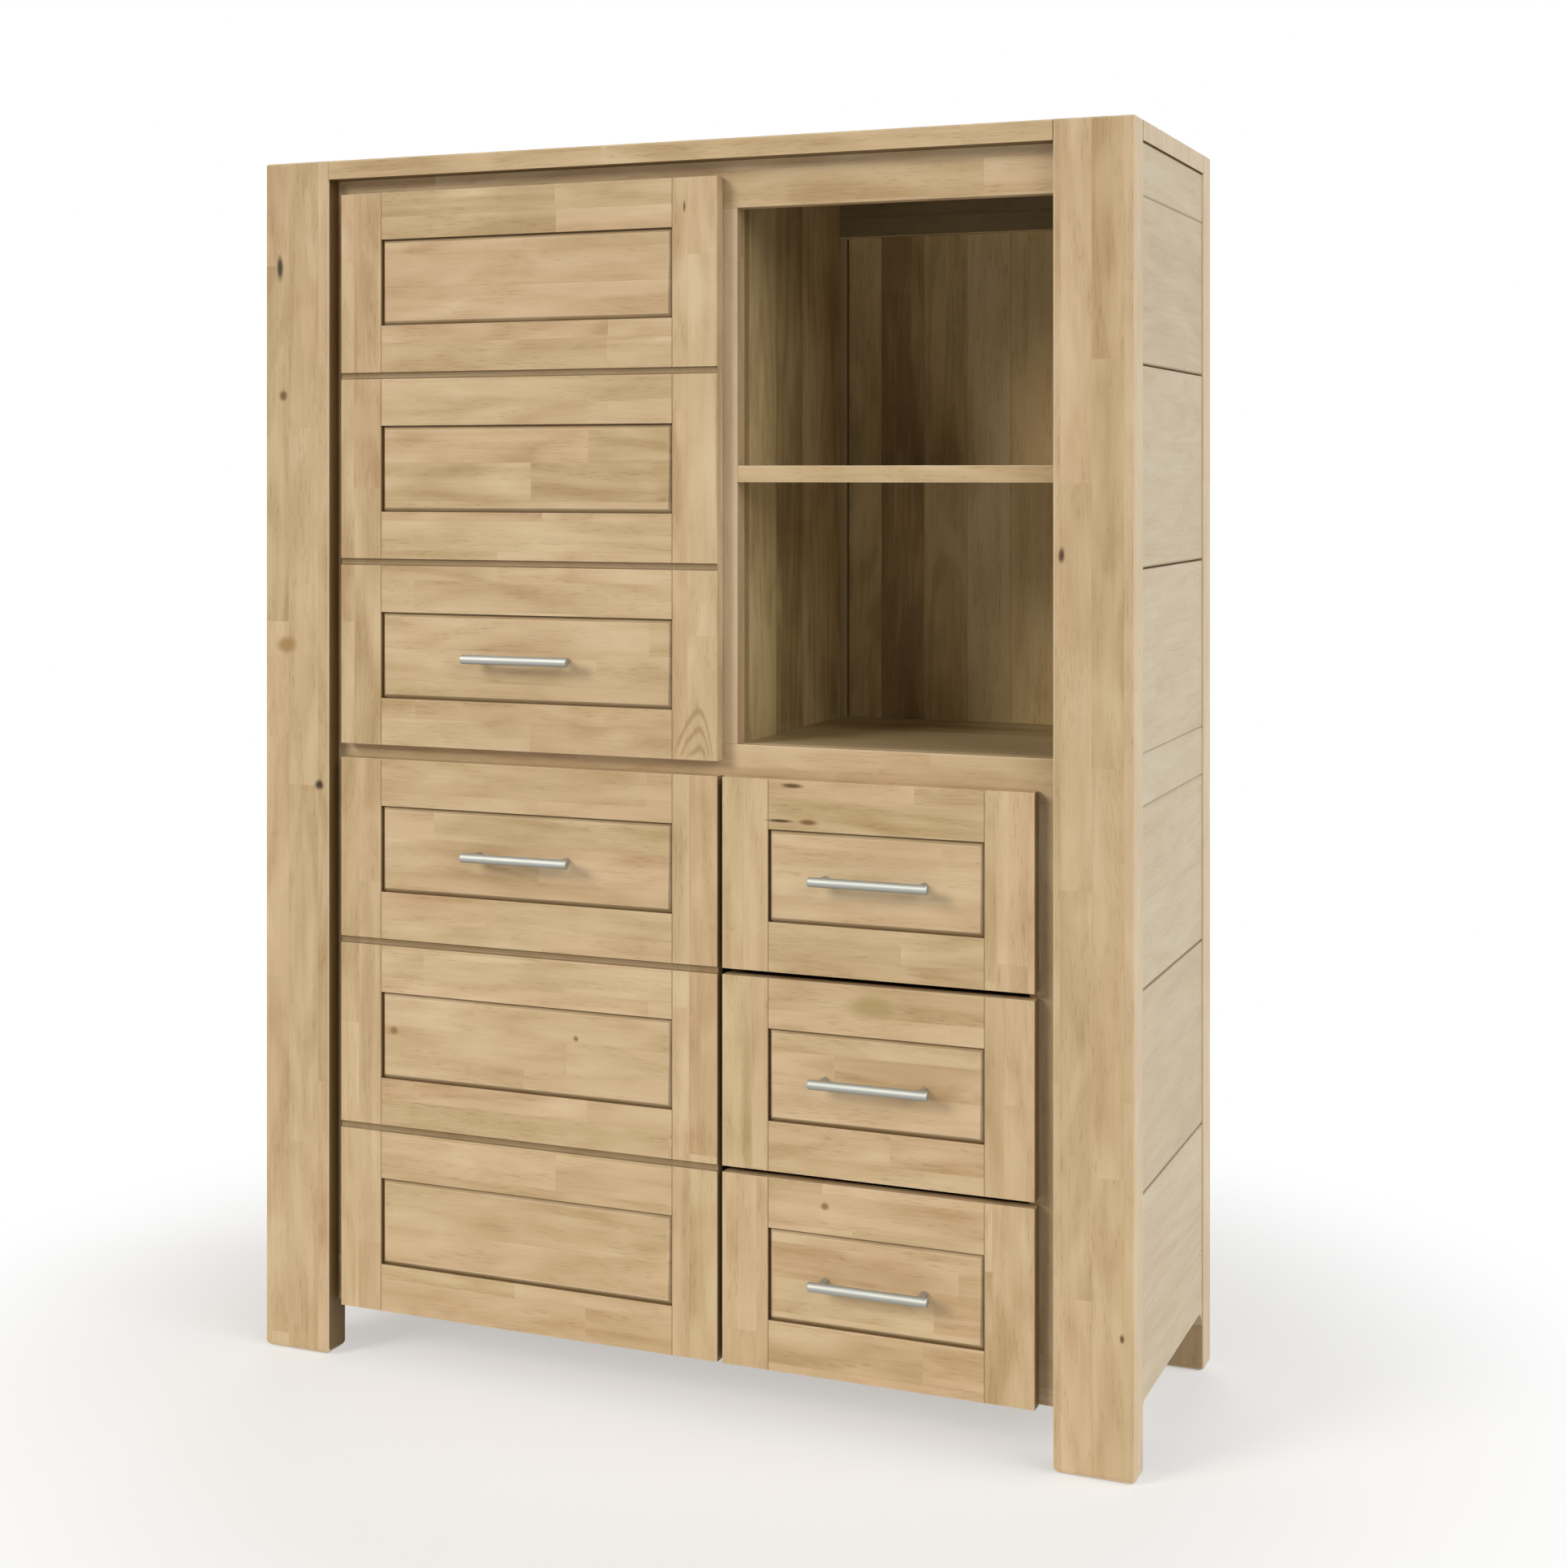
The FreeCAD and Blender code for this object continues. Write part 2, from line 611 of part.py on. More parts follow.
def hinge_arm(name, z):
    """The arm on the edge of the face frame's stile, with two cheeks and the fixed pin."""
    base = box(
        name + "_base",
        ("cupboard_left", "cupboard_left + arm_plate"),
        ("frame_front", "frame_back"),
        (f"{z} - arm_base_long / 2", f"{z} + arm_base_long / 2"),
    )
    reach = ("cupboard_left", "arm_pin_x + arm_cheek_half")
    low = (f"{z} - arm_outer", f"{z} - arm_inner")
    high = (f"{z} + arm_inner", f"{z} + arm_outer")
    cheek_deep = ("arm_pin_y - arm_cheek_half", "arm_web + arm_plate")
    cheeks = [box(f"{name}_cheek_{number}", reach, cheek_deep, height) for number, height in enumerate((low, high))]
    web = box(name + "_web", reach, ("arm_web", "arm_web + arm_plate"), (low[0], high[1]))
    pin = rod(name + "_pin", "z", {"x": "arm_pin_x", "y": "arm_pin_y"}, "pin_radius", (low[0], high[1]))
    return join(name, base, *cheeks, web, pin)


def make_doors():
    """Two doors, each one leaf of three framed fields, with a bar handle and two concealed hinges."""
    arms = []
    for level, low, high, handle_field in (("upper", "upper_bottom", "upper_high", 0), ("lower", "front_bottom", "lower_high", 2)):
        heights = hinge_heights(low, high)
        bores = [cup_bore(f"{level}_bore_{number}", z) for number, z in enumerate(heights)]
        name = f"{level}_door"
        stiles, rails, panels = framed_front(name, ("door_left", "door_right"), low, 3, "field_gap", high, bores)
        piece(f"{name}_left_stile", stiles[0])
        piece(f"{name}_right_stile", stiles[1])
        piece(f"{name}_rails", *rails)
        piece(f"{name}_panels", *panels)
        field = f"(({high} - 2 * field_gap) / 3)"
        handle_z = f"({low} + {handle_field} * ({field} + field_gap) + {field} / 2)"
        piece(f"{name}_handle", handle(f"{name}_handle", "door_middle", handle_z))
        piece(f"{level}_hinge_cups", *[hinge_cup(f"{level}_cup_{number}", z) for number, z in enumerate(heights)])
        piece(f"{level}_hinge_links", *[hinge_link(f"{level}_link_{number}", z) for number, z in enumerate(heights)])
        arms += [hinge_arm(f"{level}_arm_{number}", z) for number, z in enumerate(heights)]
    piece("hinge_arms", *arms)


def make_drawers():
    """Three equal drawers: a framed front on a box whose grooved sides slide on hardwood runners."""
    runners = []
    for number in (1, 2, 3):
        name = f"drawer_{number}"
        low = f"(front_bottom + {3 - number} * drawer_step)"
        stiles, rails, panels = framed_front(name, ("drawer_left", "drawer_right"), low, 1, "drawer_gap", "drawer_high")
        piece(f"{name}_front_frame", *stiles, *rails)
        piece(f"{name}_front_panel", *panels)
        piece(f"{name}_handle", handle(f"{name}_handle", "drawer_middle", f"({low} + drawer_high / 2)"))

        box_low = f"({low} + box_up)"
        height = (box_low, f"{box_low} + box_high")
        length = ("front_back", "box_back")
        runner_z = f"({box_low} + box_high / 2)"
        groove_y = ("frame_back - runner_stop", "box_back")
        groove_z = (f"{runner_z} - runner_half", f"{runner_z} + runner_half")
        floor = (f"{box_low} + box_bottom_up", f"{box_low} + box_bottom_up + box_bottom_thick")
        floor_slot = (f"{floor[0]} - panel_play", f"{floor[1]} + panel_play")
        bottom_x = ("box_inner_left - box_groove", "box_inner_right + box_groove")
        bottom_y = ("front_back + box_side_thick - box_groove", "box_back - box_side_thick + box_groove")
        slot = box(f"{name}_floor_slot", bottom_x, bottom_y, floor_slot)
        boards = []
        for side, across, groove_x in (
            ("left", ("box_left", "box_inner_left"), ("box_left", "box_left + runner_groove")),
            ("right", ("box_inner_right", "box_right"), ("box_right - runner_groove", "box_right")),
        ):
            blank = box(f"{name}_{side}_side_blank", across, length, height)
            groove = box(f"{name}_{side}_groove", groove_x, groove_y, groove_z)
            boards.append(cut(f"{name}_{side}_side", blank, groove, slot))
        for end, across in (
            ("front", ("front_back", "front_back + box_side_thick")),
            ("back", ("box_back - box_side_thick", "box_back")),
        ):
            blank = box(f"{name}_{end}_end_blank", ("box_inner_left", "box_inner_right"), across, height)
            boards.append(cut(f"{name}_{end}_end", blank, slot))
        piece(f"{name}_box", *boards)
        shrunk_x = (f"{bottom_x[0]} + panel_play", f"{bottom_x[1]} - panel_play")
        shrunk_y = (f"{bottom_y[0]} + panel_play", f"{bottom_y[1]} - panel_play")
        piece(f"{name}_bottom", box(f"{name}_bottom", shrunk_x, shrunk_y, floor))

        runner_y = ("frame_back", "box_back")
        strip_z = (f"{runner_z} - runner_high / 2", f"{runner_z} + runner_high / 2")
        for side, across in (
            ("left", ("drawers_left", "drawers_left + runner_out")),
            ("right", ("drawers_right - runner_out", "drawers_right")),
        ):
            runners.append(box(f"{name}_{side}_runner", across, runner_y, strip_z))
    piece("drawer_runners", *runners)


def write_parts():
    """Checks every object and shape, then writes one file for each sub-part."""
    doc.recompute()
    faults = [item.Name for item in doc.Objects if "Invalid" in item.State or "Error" in item.State]
    for item in PIECES:
        if item.Shape.isNull() or not item.Shape.isValid() or not item.Shape.Solids:
            faults.append(item.Label)
    if faults:
        raise RuntimeError("these objects failed: " + ", ".join(faults))
    os.makedirs("parts", exist_ok=True)
    for item in PIECES:
        item.Shape.exportStep(f"parts/{item.Label}.step")
    solids = sum(len(item.Shape.Solids) for item in PIECES)
    print(f"{len(PIECES)} sub-parts with {solids} solids")


make_posts()
make_top()
make_sides()
make_face_frame()
make_inside()
make_back()
make_doors()
make_drawers()
write_parts()
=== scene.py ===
# %% [markdown]
# # An oak highboard
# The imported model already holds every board, hinge and drawer at its exact place. This lesson dresses it:
# each board becomes a piece with eased edges and a grain of its own, the handles and screws are made with
# Geometry Nodes, and a plain studio stands around it. Nothing is moved, so every piece can ride on the body
# it belongs to.

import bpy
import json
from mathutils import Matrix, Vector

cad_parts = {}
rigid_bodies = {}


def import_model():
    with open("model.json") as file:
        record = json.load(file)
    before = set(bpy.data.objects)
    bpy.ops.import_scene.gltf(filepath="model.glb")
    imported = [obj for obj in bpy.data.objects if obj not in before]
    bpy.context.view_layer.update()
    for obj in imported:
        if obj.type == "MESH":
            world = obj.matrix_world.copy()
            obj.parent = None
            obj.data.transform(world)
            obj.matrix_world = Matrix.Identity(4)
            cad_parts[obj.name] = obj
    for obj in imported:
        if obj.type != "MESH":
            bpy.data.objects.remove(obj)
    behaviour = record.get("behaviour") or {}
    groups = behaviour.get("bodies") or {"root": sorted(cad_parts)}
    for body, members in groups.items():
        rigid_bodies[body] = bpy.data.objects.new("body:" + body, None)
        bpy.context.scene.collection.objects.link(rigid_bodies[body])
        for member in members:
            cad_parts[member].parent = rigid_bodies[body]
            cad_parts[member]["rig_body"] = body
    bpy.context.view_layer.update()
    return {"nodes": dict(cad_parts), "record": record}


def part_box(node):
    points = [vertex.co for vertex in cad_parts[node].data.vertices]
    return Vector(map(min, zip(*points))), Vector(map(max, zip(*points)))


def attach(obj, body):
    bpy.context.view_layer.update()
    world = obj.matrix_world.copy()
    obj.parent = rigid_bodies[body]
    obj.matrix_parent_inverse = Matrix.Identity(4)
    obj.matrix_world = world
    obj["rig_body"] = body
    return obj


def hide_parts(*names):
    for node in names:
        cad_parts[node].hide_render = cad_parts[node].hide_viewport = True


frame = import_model()

# %% [markdown]
# ## Tools for every finish
# A finish is a tree of nodes. Four small functions serve the whole lesson: one turns a colour as the eye
# reads it into the linear numbers that a shader counts with, one adds a node with its settings and links,
# one starts a material with nothing but its shader, and one puts a new object into the scene.

# %% Colours, nodes and empty materials
import json
import math
import random
import zlib
from types import SimpleNamespace

import bmesh
import bpy
from mathutils import Vector

MM = 0.001
MATH, VECTOR, MIX = "ShaderNodeMath", "ShaderNodeVectorMath", "ShaderNodeMix"
RANGE = "ShaderNodeMapRange"  # takes a value, the two ends it has now, and the two that it gets
scene = bpy.context.scene


def linear(code):
    """An sRGB hex colour as the linear colour that a shader needs."""
    parts = [int(code[place:place + 2], 16) / 255 for place in (1, 3, 5)]
    return [part / 12.92 if part <= 0.04045 else ((part + 0.055) / 1.055) ** 2.4 for part in parts] + [1.0]


def add(tree, kind, inputs=(), **settings):
    """Adds a node. Its inputs, listed or named, take values, sockets, or nodes for their first output."""
    made = tree.nodes.new(kind)
    for name, value in settings.items():
        setattr(made, name, value)
    for name, value in inputs.items() if isinstance(inputs, dict) else enumerate(inputs):
        if isinstance(value, bpy.types.Node):
            value = value.outputs[0]
        if isinstance(value, bpy.types.NodeSocket):
            tree.links.new(value, made.inputs[name])
        else:
            made.inputs[name].default_value = value
    return made


def empty_material(name, inputs=()):
    """A new material with only its shader and its output."""
    material = bpy.data.materials.new(name)
    material.use_nodes = True
    tree = material.node_tree
    tree.nodes.clear()
    shader = add(tree, "ShaderNodeBsdfPrincipled", inputs)
    add(tree, "ShaderNodeOutputMaterial", {"Surface": shader})
    return material, tree, shader


def show(name, data):
    """A new object in the scene."""
    made = bpy.data.objects.new(name, data)
    scene.collection.objects.link(made)
    return made


# %% [markdown]
# ## Oiled oak
# The boards are solid oak, glued up from staves about 45 mm wide, planed, sanded and oiled. To the eye that
# gives five things: staves of slightly different tone, growth rings that run along each stave, open pores
# in the same direction, soft clouds and streaks over the whole board, and here and there a knot. A picture
# of oak would repeat and could run one way only. Nodes can follow the board and not the room: each board
# carries an attribute named grain, with metres along the fibres, across the face and through the thickness,
# so one finish fits boards that run in any direction. A second one named board holds a number of its own
# for every board, and a third named edge says how much paler a face is (above 0), for wear on an arris and
# as a painted highlight, and how much darker (below 0), for oil kept in a joint and as painted shade.

# %% What a board tells its finish
SHARE, UNDER, OVER, MIXED = 0, 6, 7, 2  # sockets of a Mix node for colours
MIDDLE = 0.5  # of a noise, and of the scale of tones


def read_board(name):
    """A new wood finish that knows its board, with a list of layers to lay on later."""
    material, tree, shader = empty_material(name)
    wood = SimpleNamespace(material=material, tree=tree, shader=shader, layers=[])
    for label, output in (("grain", "Vector"), ("board", "Fac"), ("edge", "Fac")):
        setattr(wood, label, add(tree, "ShaderNodeAttribute", attribute_name=label).outputs[output])
    wood.place = add(tree, "ShaderNodeTexCoord").outputs["Object"]
    wood.along, wood.across = add(tree, "ShaderNodeSeparateXYZ", [wood.grain]).outputs[:2]
    return wood


print("a board tells its finish: grain, board and edge")

# %% [markdown]
# ### Staves and figure
# A glued board is a row of staves across its face, cut to lengths, and every stave comes from another place
# of the log. White noise gives each one a number, and that number moves it to its own place in the wood.
# The figure is then drawn by noises that are stretched along the fibres. How often each repeats in a metre
# comes from its real size, and since a noise swells and sinks over a little more than one unit, the size
# has a share before it.

# %% Staves
FEW, MANY = 0.86, 1.16  # boards have fewer, wider staves or more, narrower ones than the mean
BOARD_STEP = 613.0  # keeps the rows of two boards apart
LOG_SIZE = (7.0, 5.0, 3.0)  # metres of wood that the staves are taken from


def lay_staves(wood, wide_mm, long_mm):
    """Rows cut into lengths, each with a number and a place in the log of its own."""
    tree = wood.tree
    rows_in_metre = add(tree, RANGE, [wood.board, 0, 1, FEW / (wide_mm * MM), MANY / (wide_mm * MM)])
    wood.rows = add(tree, MATH, [wood.across, rows_in_metre], operation="MULTIPLY")
    row = add(tree, MATH, [wood.rows], operation="FLOOR")
    seed = add(tree, MATH, [wood.board, BOARD_STEP, row], operation="MULTIPLY_ADD")
    shift = add(tree, "ShaderNodeTexWhiteNoise", {"W": seed}, noise_dimensions="1D")
    lengths = add(tree, MATH, [wood.along, 1 / (long_mm * MM), shift], operation="MULTIPLY_ADD")
    length = add(tree, MATH, [lengths], operation="FLOOR")
    cell = add(tree, "ShaderNodeCombineXYZ", [row, length, seed])
    wood.stave = add(tree, "ShaderNodeTexWhiteNoise", {"Vector": cell}, noise_dimensions="3D")
    wood.log = add(tree, VECTOR, [wood.stave.outputs["Color"], LOG_SIZE, wood.grain],
                   operation="MULTIPLY_ADD")


print("the widest staves are", round(MANY / FEW, 2), "times as wide as the narrowest")

# %% Rings, pores, clouds and streaks from real sizes
SWELLS = 0.11 / (9.0 * MM)  # a flat-sawn oak face shows a ring every 4 to 12 mm, here about every 9
STREAKS = 0.55 / (2.4 * MM)  # soft streaks, 2.4 mm wide, that crowded pores draw along the fibres
CLOUDS = 1.0 / (140.0 * MM)  # soft change of tone along a board
BANDS = 0.9 / (24.0 * MM)  # wide streaks where the rings lie flat in the face
FLECKS = 0.45 / (0.7 * MM)  # open pores: real ones are 0.3 mm wide, drawn wider so that they show
FLECK_ENDS = 1.0 / (20.0 * MM)  # and about 20 mm long
RING_TURNS = 46.0  # how far the wave of light and dark turns over one whole swell
FIGURE = {
    # where it is drawn, times in a metre along, across and through the board, detail, roughness, distortion
    "swells": ("log", (1.7, SWELLS, SWELLS), 1.5, 0.45, 0.35),
    "pores": ("log", (9.0, STREAKS, STREAKS), 3.0, 0.6, 0.0),
    "clouds": ("log", (CLOUDS, 3 * CLOUDS, 3 * CLOUDS), 2.0, 0.5, 0.6),
    "bands": ("grain", (BANDS / 14, BANDS, 9.0), 2.5, 0.55, 0.4),
    "flecks": ("log", (FLECK_ENDS, FLECKS, FLECKS), 1.0, 0.5, 0.0),
}


def draw_figure(wood):
    """Noises that are stretched along the fibres, and the rings as a wave over the widest of them."""
    tree = wood.tree
    for name, (space, times, detail, roughness, distortion) in FIGURE.items():
        stretched = add(tree, VECTOR, [getattr(wood, space), times], operation="MULTIPLY")
        noise = add(tree, "ShaderNodeTexNoise", {
            "Vector": stretched, "Scale": 1.0, "Detail": detail, "Roughness": roughness,
            "Distortion": distortion})
        setattr(wood, name, noise.outputs["Fac"])
    turns = add(tree, MATH, [wood.swells, RING_TURNS], operation="MULTIPLY")
    wave = add(tree, MATH, [turns], operation="SINE")
    wood.rings = add(tree, RANGE, [wave, -1, 1], interpolation_type="SMOOTHERSTEP")


print("in a metre:", {name: [round(number, 1) for number in row[1]] for name, row in FIGURE.items()})

# %% [markdown]
# ### From layers to a colour
# A real board has one dye, the oil, that each layer takes up more or less. So the layers are weighed into
# one tone first, and the tone is looked up between a deep and a pale colour. Only then come the things with
# a colour of their own: a rosy or olive tint for each stave, open pores, the glue line, knots, and at last
# the edges, whose paler and darker tones are partly wear and oil and partly painted light and shade.

# %% One tone from all the layers
WEIGHED = ("board", "rings", "pores", "clouds", "bands")


def mix_tone(wood, tones, contrast):
    """Weighs the layers into one tone between deep and pale, and tints each stave a little."""
    tree = wood.tree
    lowest = MIDDLE - contrast["stave"] / 2
    tone = add(tree, MATH, [wood.stave, contrast["stave"], lowest], operation="MULTIPLY_ADD")
    for layer in WEIGHED:
        centred = add(tree, MATH, [getattr(wood, layer), MIDDLE], operation="SUBTRACT")
        tone = add(tree, MATH, [centred, contrast[layer], tone], operation="MULTIPLY_ADD")
    ramp = add(tree, "ShaderNodeValToRGB", {"Fac": tone})
    stops = ramp.color_ramp.elements
    stops[0].color = linear(tones["deep"])
    stops[1].color = linear(tones["pale"])
    stops.new(MIDDLE).color = linear(tones["middle"])
    hue = add(tree, "ShaderNodeSeparateColor", [wood.stave.outputs["Color"]]).outputs["Green"]
    tint = add(tree, MIX, {
        SHARE: hue, UNDER: linear(tones["rosy"]), OVER: linear(tones["olive"])}, data_type="RGBA")
    return add(tree, MIX, {
        SHARE: contrast["hue"], UNDER: ramp, OVER: tint.outputs[MIXED]}, data_type="RGBA").outputs[MIXED]


print("weighed into the tone: stave,", ", ".join(WEIGHED))

# %% Open pores and glue lines
PORE_RIM, PORE_CORE = 0.54, 0.70  # where the flecks' noise begins to be a pore, and where it is one
LATE_WOOD = 0.25  # share of the pores that a ring's dense late wood has
GLUE_LINE = 0.035  # share of a stave's width that its dark glue line takes


def open_pores(wood, tones, contrast):
    """Fine dark flecks, crowded in the early wood of a ring, and a faint line at each stave's border."""
    tree = wood.tree
    pore = add(tree, RANGE, [wood.flecks, PORE_RIM, PORE_CORE, 0, contrast["flecks"]],
               interpolation_type="SMOOTHSTEP")
    crowd = add(tree, RANGE, [wood.rings, 0, 1, 1, LATE_WOOD])
    specks = add(tree, MATH, [pore, crowd], operation="MULTIPLY")
    wood.layers.append((specks, tones["soaked_and_shaded"]))
    place = add(tree, MATH, [wood.rows], operation="FRACT")
    line = add(tree, MATH, [place, GLUE_LINE], operation="LESS_THAN")
    faint = add(tree, MATH, [line, contrast["glue"]], operation="MULTIPLY")
    wood.layers.append((faint, tones["deep"]))


print("a glue line on a stave of 44 mm is", round(44 * GLUE_LINE, 1), "mm wide")

# %% [markdown]
# ### Knots and an arch
# Knots sit where the real boards have them, so they are ellipsoids at measured places and not a random
# pattern. A soft noise makes their outlines uneven. At the foot of the upper door's right stile the saw has
# cut the rings at a slant, and they show as arches: a parabola with waves below it gives those.

# %% Knots of the front
KNOT_UNEVEN = (0.9, 0.9, 0.9)  # how far clouds push the outline in or out, in half sizes
KNOT_RIM, KNOT_HEART = 1.25, 0.35  # where the knot begins and where it is darkest, in half sizes
KNOT_COVER = 0.92  # share of the wood that its heart hides
FRONT_KNOTS = [
    # middle in mm, half sizes in mm, tone
    ((-577, -196.5, 1459), (5.4, 6, 19), "#170d04"),
    ((-571, -196.5, 1287), (7, 8, 8), "#6d5027"),
    ((-566, -196.5, 950), (16, 8, 12), "#a3844f"),
    ((-515, -196.5, 763), (7.5, 8, 7.5), "#201204"),
    ((511, -196.5, 1084), (4, 8, 10), "#4d331a"),
    ((584, -196.5, 170), (3, 6, 6), "#5a3f22"),
    ((-403, -191.5, 442), (7, 6, 6), "#8f7043"),
    ((-132, -191.5, 456), (4, 6, 4), "#86683c"),
    ((166, -192.5, 795), (17, 6, 3.4), "#5c3d1d"),
    ((150, -192.5, 751), (19, 5, 2.2), "#412a10"),
    ((188, -192.5, 751), (14, 6, 4), "#76542f"),
    ((21, -192.5, 1517), (2, 5, 8), "#6a4c2a"),
    ((273, -192.5, 530), (34, 7, 15), "#ab9668"),
    ((211, -192.5, 281), (6, 6, 5), "#8a6b40"),
]


def set_knots(wood, knots):
    """A dark heart in a wider brown rim, at each knot's place."""
    tree = wood.tree
    uneven = add(tree, MATH, [wood.clouds, MIDDLE], operation="SUBTRACT")
    for middle, half, code in knots:
        offset = add(tree, VECTOR, [wood.place, [number * MM for number in middle]], operation="SUBTRACT")
        scaled = add(tree, VECTOR, [offset, [1 / (size * MM) for size in half]], operation="MULTIPLY")
        rough = add(tree, VECTOR, [uneven, KNOT_UNEVEN, scaled], operation="MULTIPLY_ADD")
        away = add(tree, VECTOR, [rough], operation="LENGTH").outputs["Value"]
        dark = add(tree, RANGE, [away, KNOT_RIM, KNOT_HEART, 0, KNOT_COVER],
                   interpolation_type="SMOOTHSTEP")
        wood.layers.append((dark, code))


print(len(FRONT_KNOTS), "knots on the front")

# %% The arched figure
ARCH_SKEW = 0.3  # how much steeper the right flank is
ARCH_WANDER = 34 * MM  # how far clouds push a ring up or down
ARCH_PORES = 1.6  # weight of the pores in a ring
ARCH_WAVES = (0.6, 1.9)  # from the trough of a ring to its crest
ARCH_COVER = (0.12, 0.62)  # share of the wood that trough and crest hide
FRONT_ARCH = dict(peak=(42, -192.5, 898), half_wide=38, high=76, ring=23, steep=100.0, code="#98794a")


def draw_arch(wood, peak, half_wide, high, ring, steep, code):
    """Rings that the saw cut at a slant, one below the other under a peak. Lengths are in mm."""
    tree = wood.tree
    offset = add(tree, VECTOR, [wood.place, [number * MM for number in peak]], operation="SUBTRACT")
    aside, before, above = add(tree, "ShaderNodeSeparateXYZ", [offset]).outputs
    beside = add(tree, MATH, [aside], operation="ABSOLUTE")
    skewed = add(tree, MATH, [beside, ARCH_SKEW, aside], operation="MULTIPLY_ADD")
    square = add(tree, MATH, [skewed, skewed], operation="MULTIPLY")
    drop = add(tree, MATH, [square, steep, above], operation="MULTIPLY_ADD")
    wavy = add(tree, MATH, [wood.clouds, ARCH_WANDER, drop], operation="MULTIPLY_ADD")
    turns = add(tree, MATH, [wavy, 2 * math.pi / (ring * MM)], operation="MULTIPLY")
    wave = add(tree, MATH, [turns], operation="COSINE")
    streaks = add(tree, MATH, [wood.pores, ARCH_PORES, wave], operation="MULTIPLY_ADD")
    share = add(tree, RANGE, [streaks, *ARCH_WAVES, *ARCH_COVER], interpolation_type="SMOOTHSTEP")
    limits = (
        (drop, 5, -9),  # it begins under the highest arch
        (beside, half_wide, 0.7 * half_wide),  # fades towards both sides
        (before, 4, 3),  # stays in the front face
        (above, -high, 8 - high),  # and ends at its height
    )
    for value, none, full in limits:
        limit = add(tree, RANGE, [value, none * MM, full * MM])
        share = add(tree, MATH, [share, limit], operation="MULTIPLY")
    wood.layers.append((share, code))


print("an arched figure with rings", FRONT_ARCH["ring"], "mm apart")

# %% [markdown]
# ### Edges and oil
# Hands wear an arris pale, and oil stays in joints and dries dark. The paler arrises also paint the
# highlight that a rounded edge catches, and the darker grooves, mouldings, gaps and recesses are painted
# shade.
# The oil itself leaves a low satin sheen, not a film: the surface stays a little uneven along the pores, and
# so does its roughness.

# %% Pale and dark edges, painted light and shade, and an oiled skin
WEAR_AND_HIGHLIGHT, SOAK_AND_SHADE = 0.45, -0.8  # how strongly the attribute edge shows above 0, as wear and a painted highlight, and below 0, as oil and painted shade
NOISE_SPAN = (0.3, 0.7)  # where most of a noise lies
OIL_ROUGH = (0.50, 0.40)  # roughness in the pores and beside them
OIL_IOR, OIL_SHEEN = 1.48, 0.25  # oil's own IOR, and less of a mirror than a film of it would be
RING_RELIEF = 0.35  # how far rings stand up, beside the pores
RELIEF, RELIEF_DEEP = 0.12, 0.4 * MM


def vary_gloss(tree, shader, noise, span):
    """Spreads a noise over a span of roughness: no real surface has one gloss everywhere."""
    rough = add(tree, RANGE, [noise, *NOISE_SPAN, *span])
    tree.links.new(rough.outputs[0], shader.inputs["Roughness"])


def oil_skin(wood, tones):
    """Pale arrises for wear and a painted highlight, dark joints, painted shade in grooves and gaps, and the
    uneven low sheen of oiled wood.
    """
    tree, sockets = wood.tree, wood.shader.inputs
    wear_and_highlight = add(tree, MATH, [wood.edge, WEAR_AND_HIGHLIGHT], operation="MULTIPLY", use_clamp=True)
    soaked_and_shaded = add(tree, MATH, [wood.edge, SOAK_AND_SHADE], operation="MULTIPLY", use_clamp=True)
    wood.layers += [(wear_and_highlight, tones["arris"]), (soaked_and_shaded, tones["soaked_and_shaded"])]
    vary_gloss(tree, wood.shader, wood.pores, OIL_ROUGH)
    relief = add(tree, MATH, [wood.rings, RING_RELIEF, wood.pores], operation="MULTIPLY_ADD")
    bump = add(tree, "ShaderNodeBump", {"Strength": RELIEF, "Distance": RELIEF_DEEP, "Height": relief})
    tree.links.new(bump.outputs[0], sockets["Normal"])
    sockets["IOR"].default_value = OIL_IOR
    sockets["Specular IOR Level"].default_value = OIL_SHEEN


def oak_finish(name, tones, stave_mm, contrast, knots=(), arch=None):
    """Oiled wood of given tones and staves: all the steps above, one after the other."""
    wood = read_board(name)
    lay_staves(wood, *stave_mm)
    draw_figure(wood)
    colour = mix_tone(wood, tones, contrast)
    open_pores(wood, tones, contrast)
    if knots:
        set_knots(wood, knots)
    if arch:
        draw_arch(wood, **arch)
    oil_skin(wood, tones)
    for share, code in wood.layers:
        colour = add(wood.tree, MIX, {SHARE: share, UNDER: colour, OVER: linear(code)},
                     data_type="RGBA").outputs[MIXED]
    wood.tree.links.new(colour, wood.shader.inputs["Base Color"])
    print(name, "has", len(wood.tree.nodes), "nodes")
    return wood.material


print("oil: IOR", OIL_IOR, "and roughness", OIL_ROUGH)

# %% [markdown]
# ### Five woods
# One recipe gives all the wood of the cabinet. What differs is the tone, the size of the staves and the
# weight of each layer: lively fronts, calmer side planks, dark upright staves inside, and plain hardwood
# for the drawers.

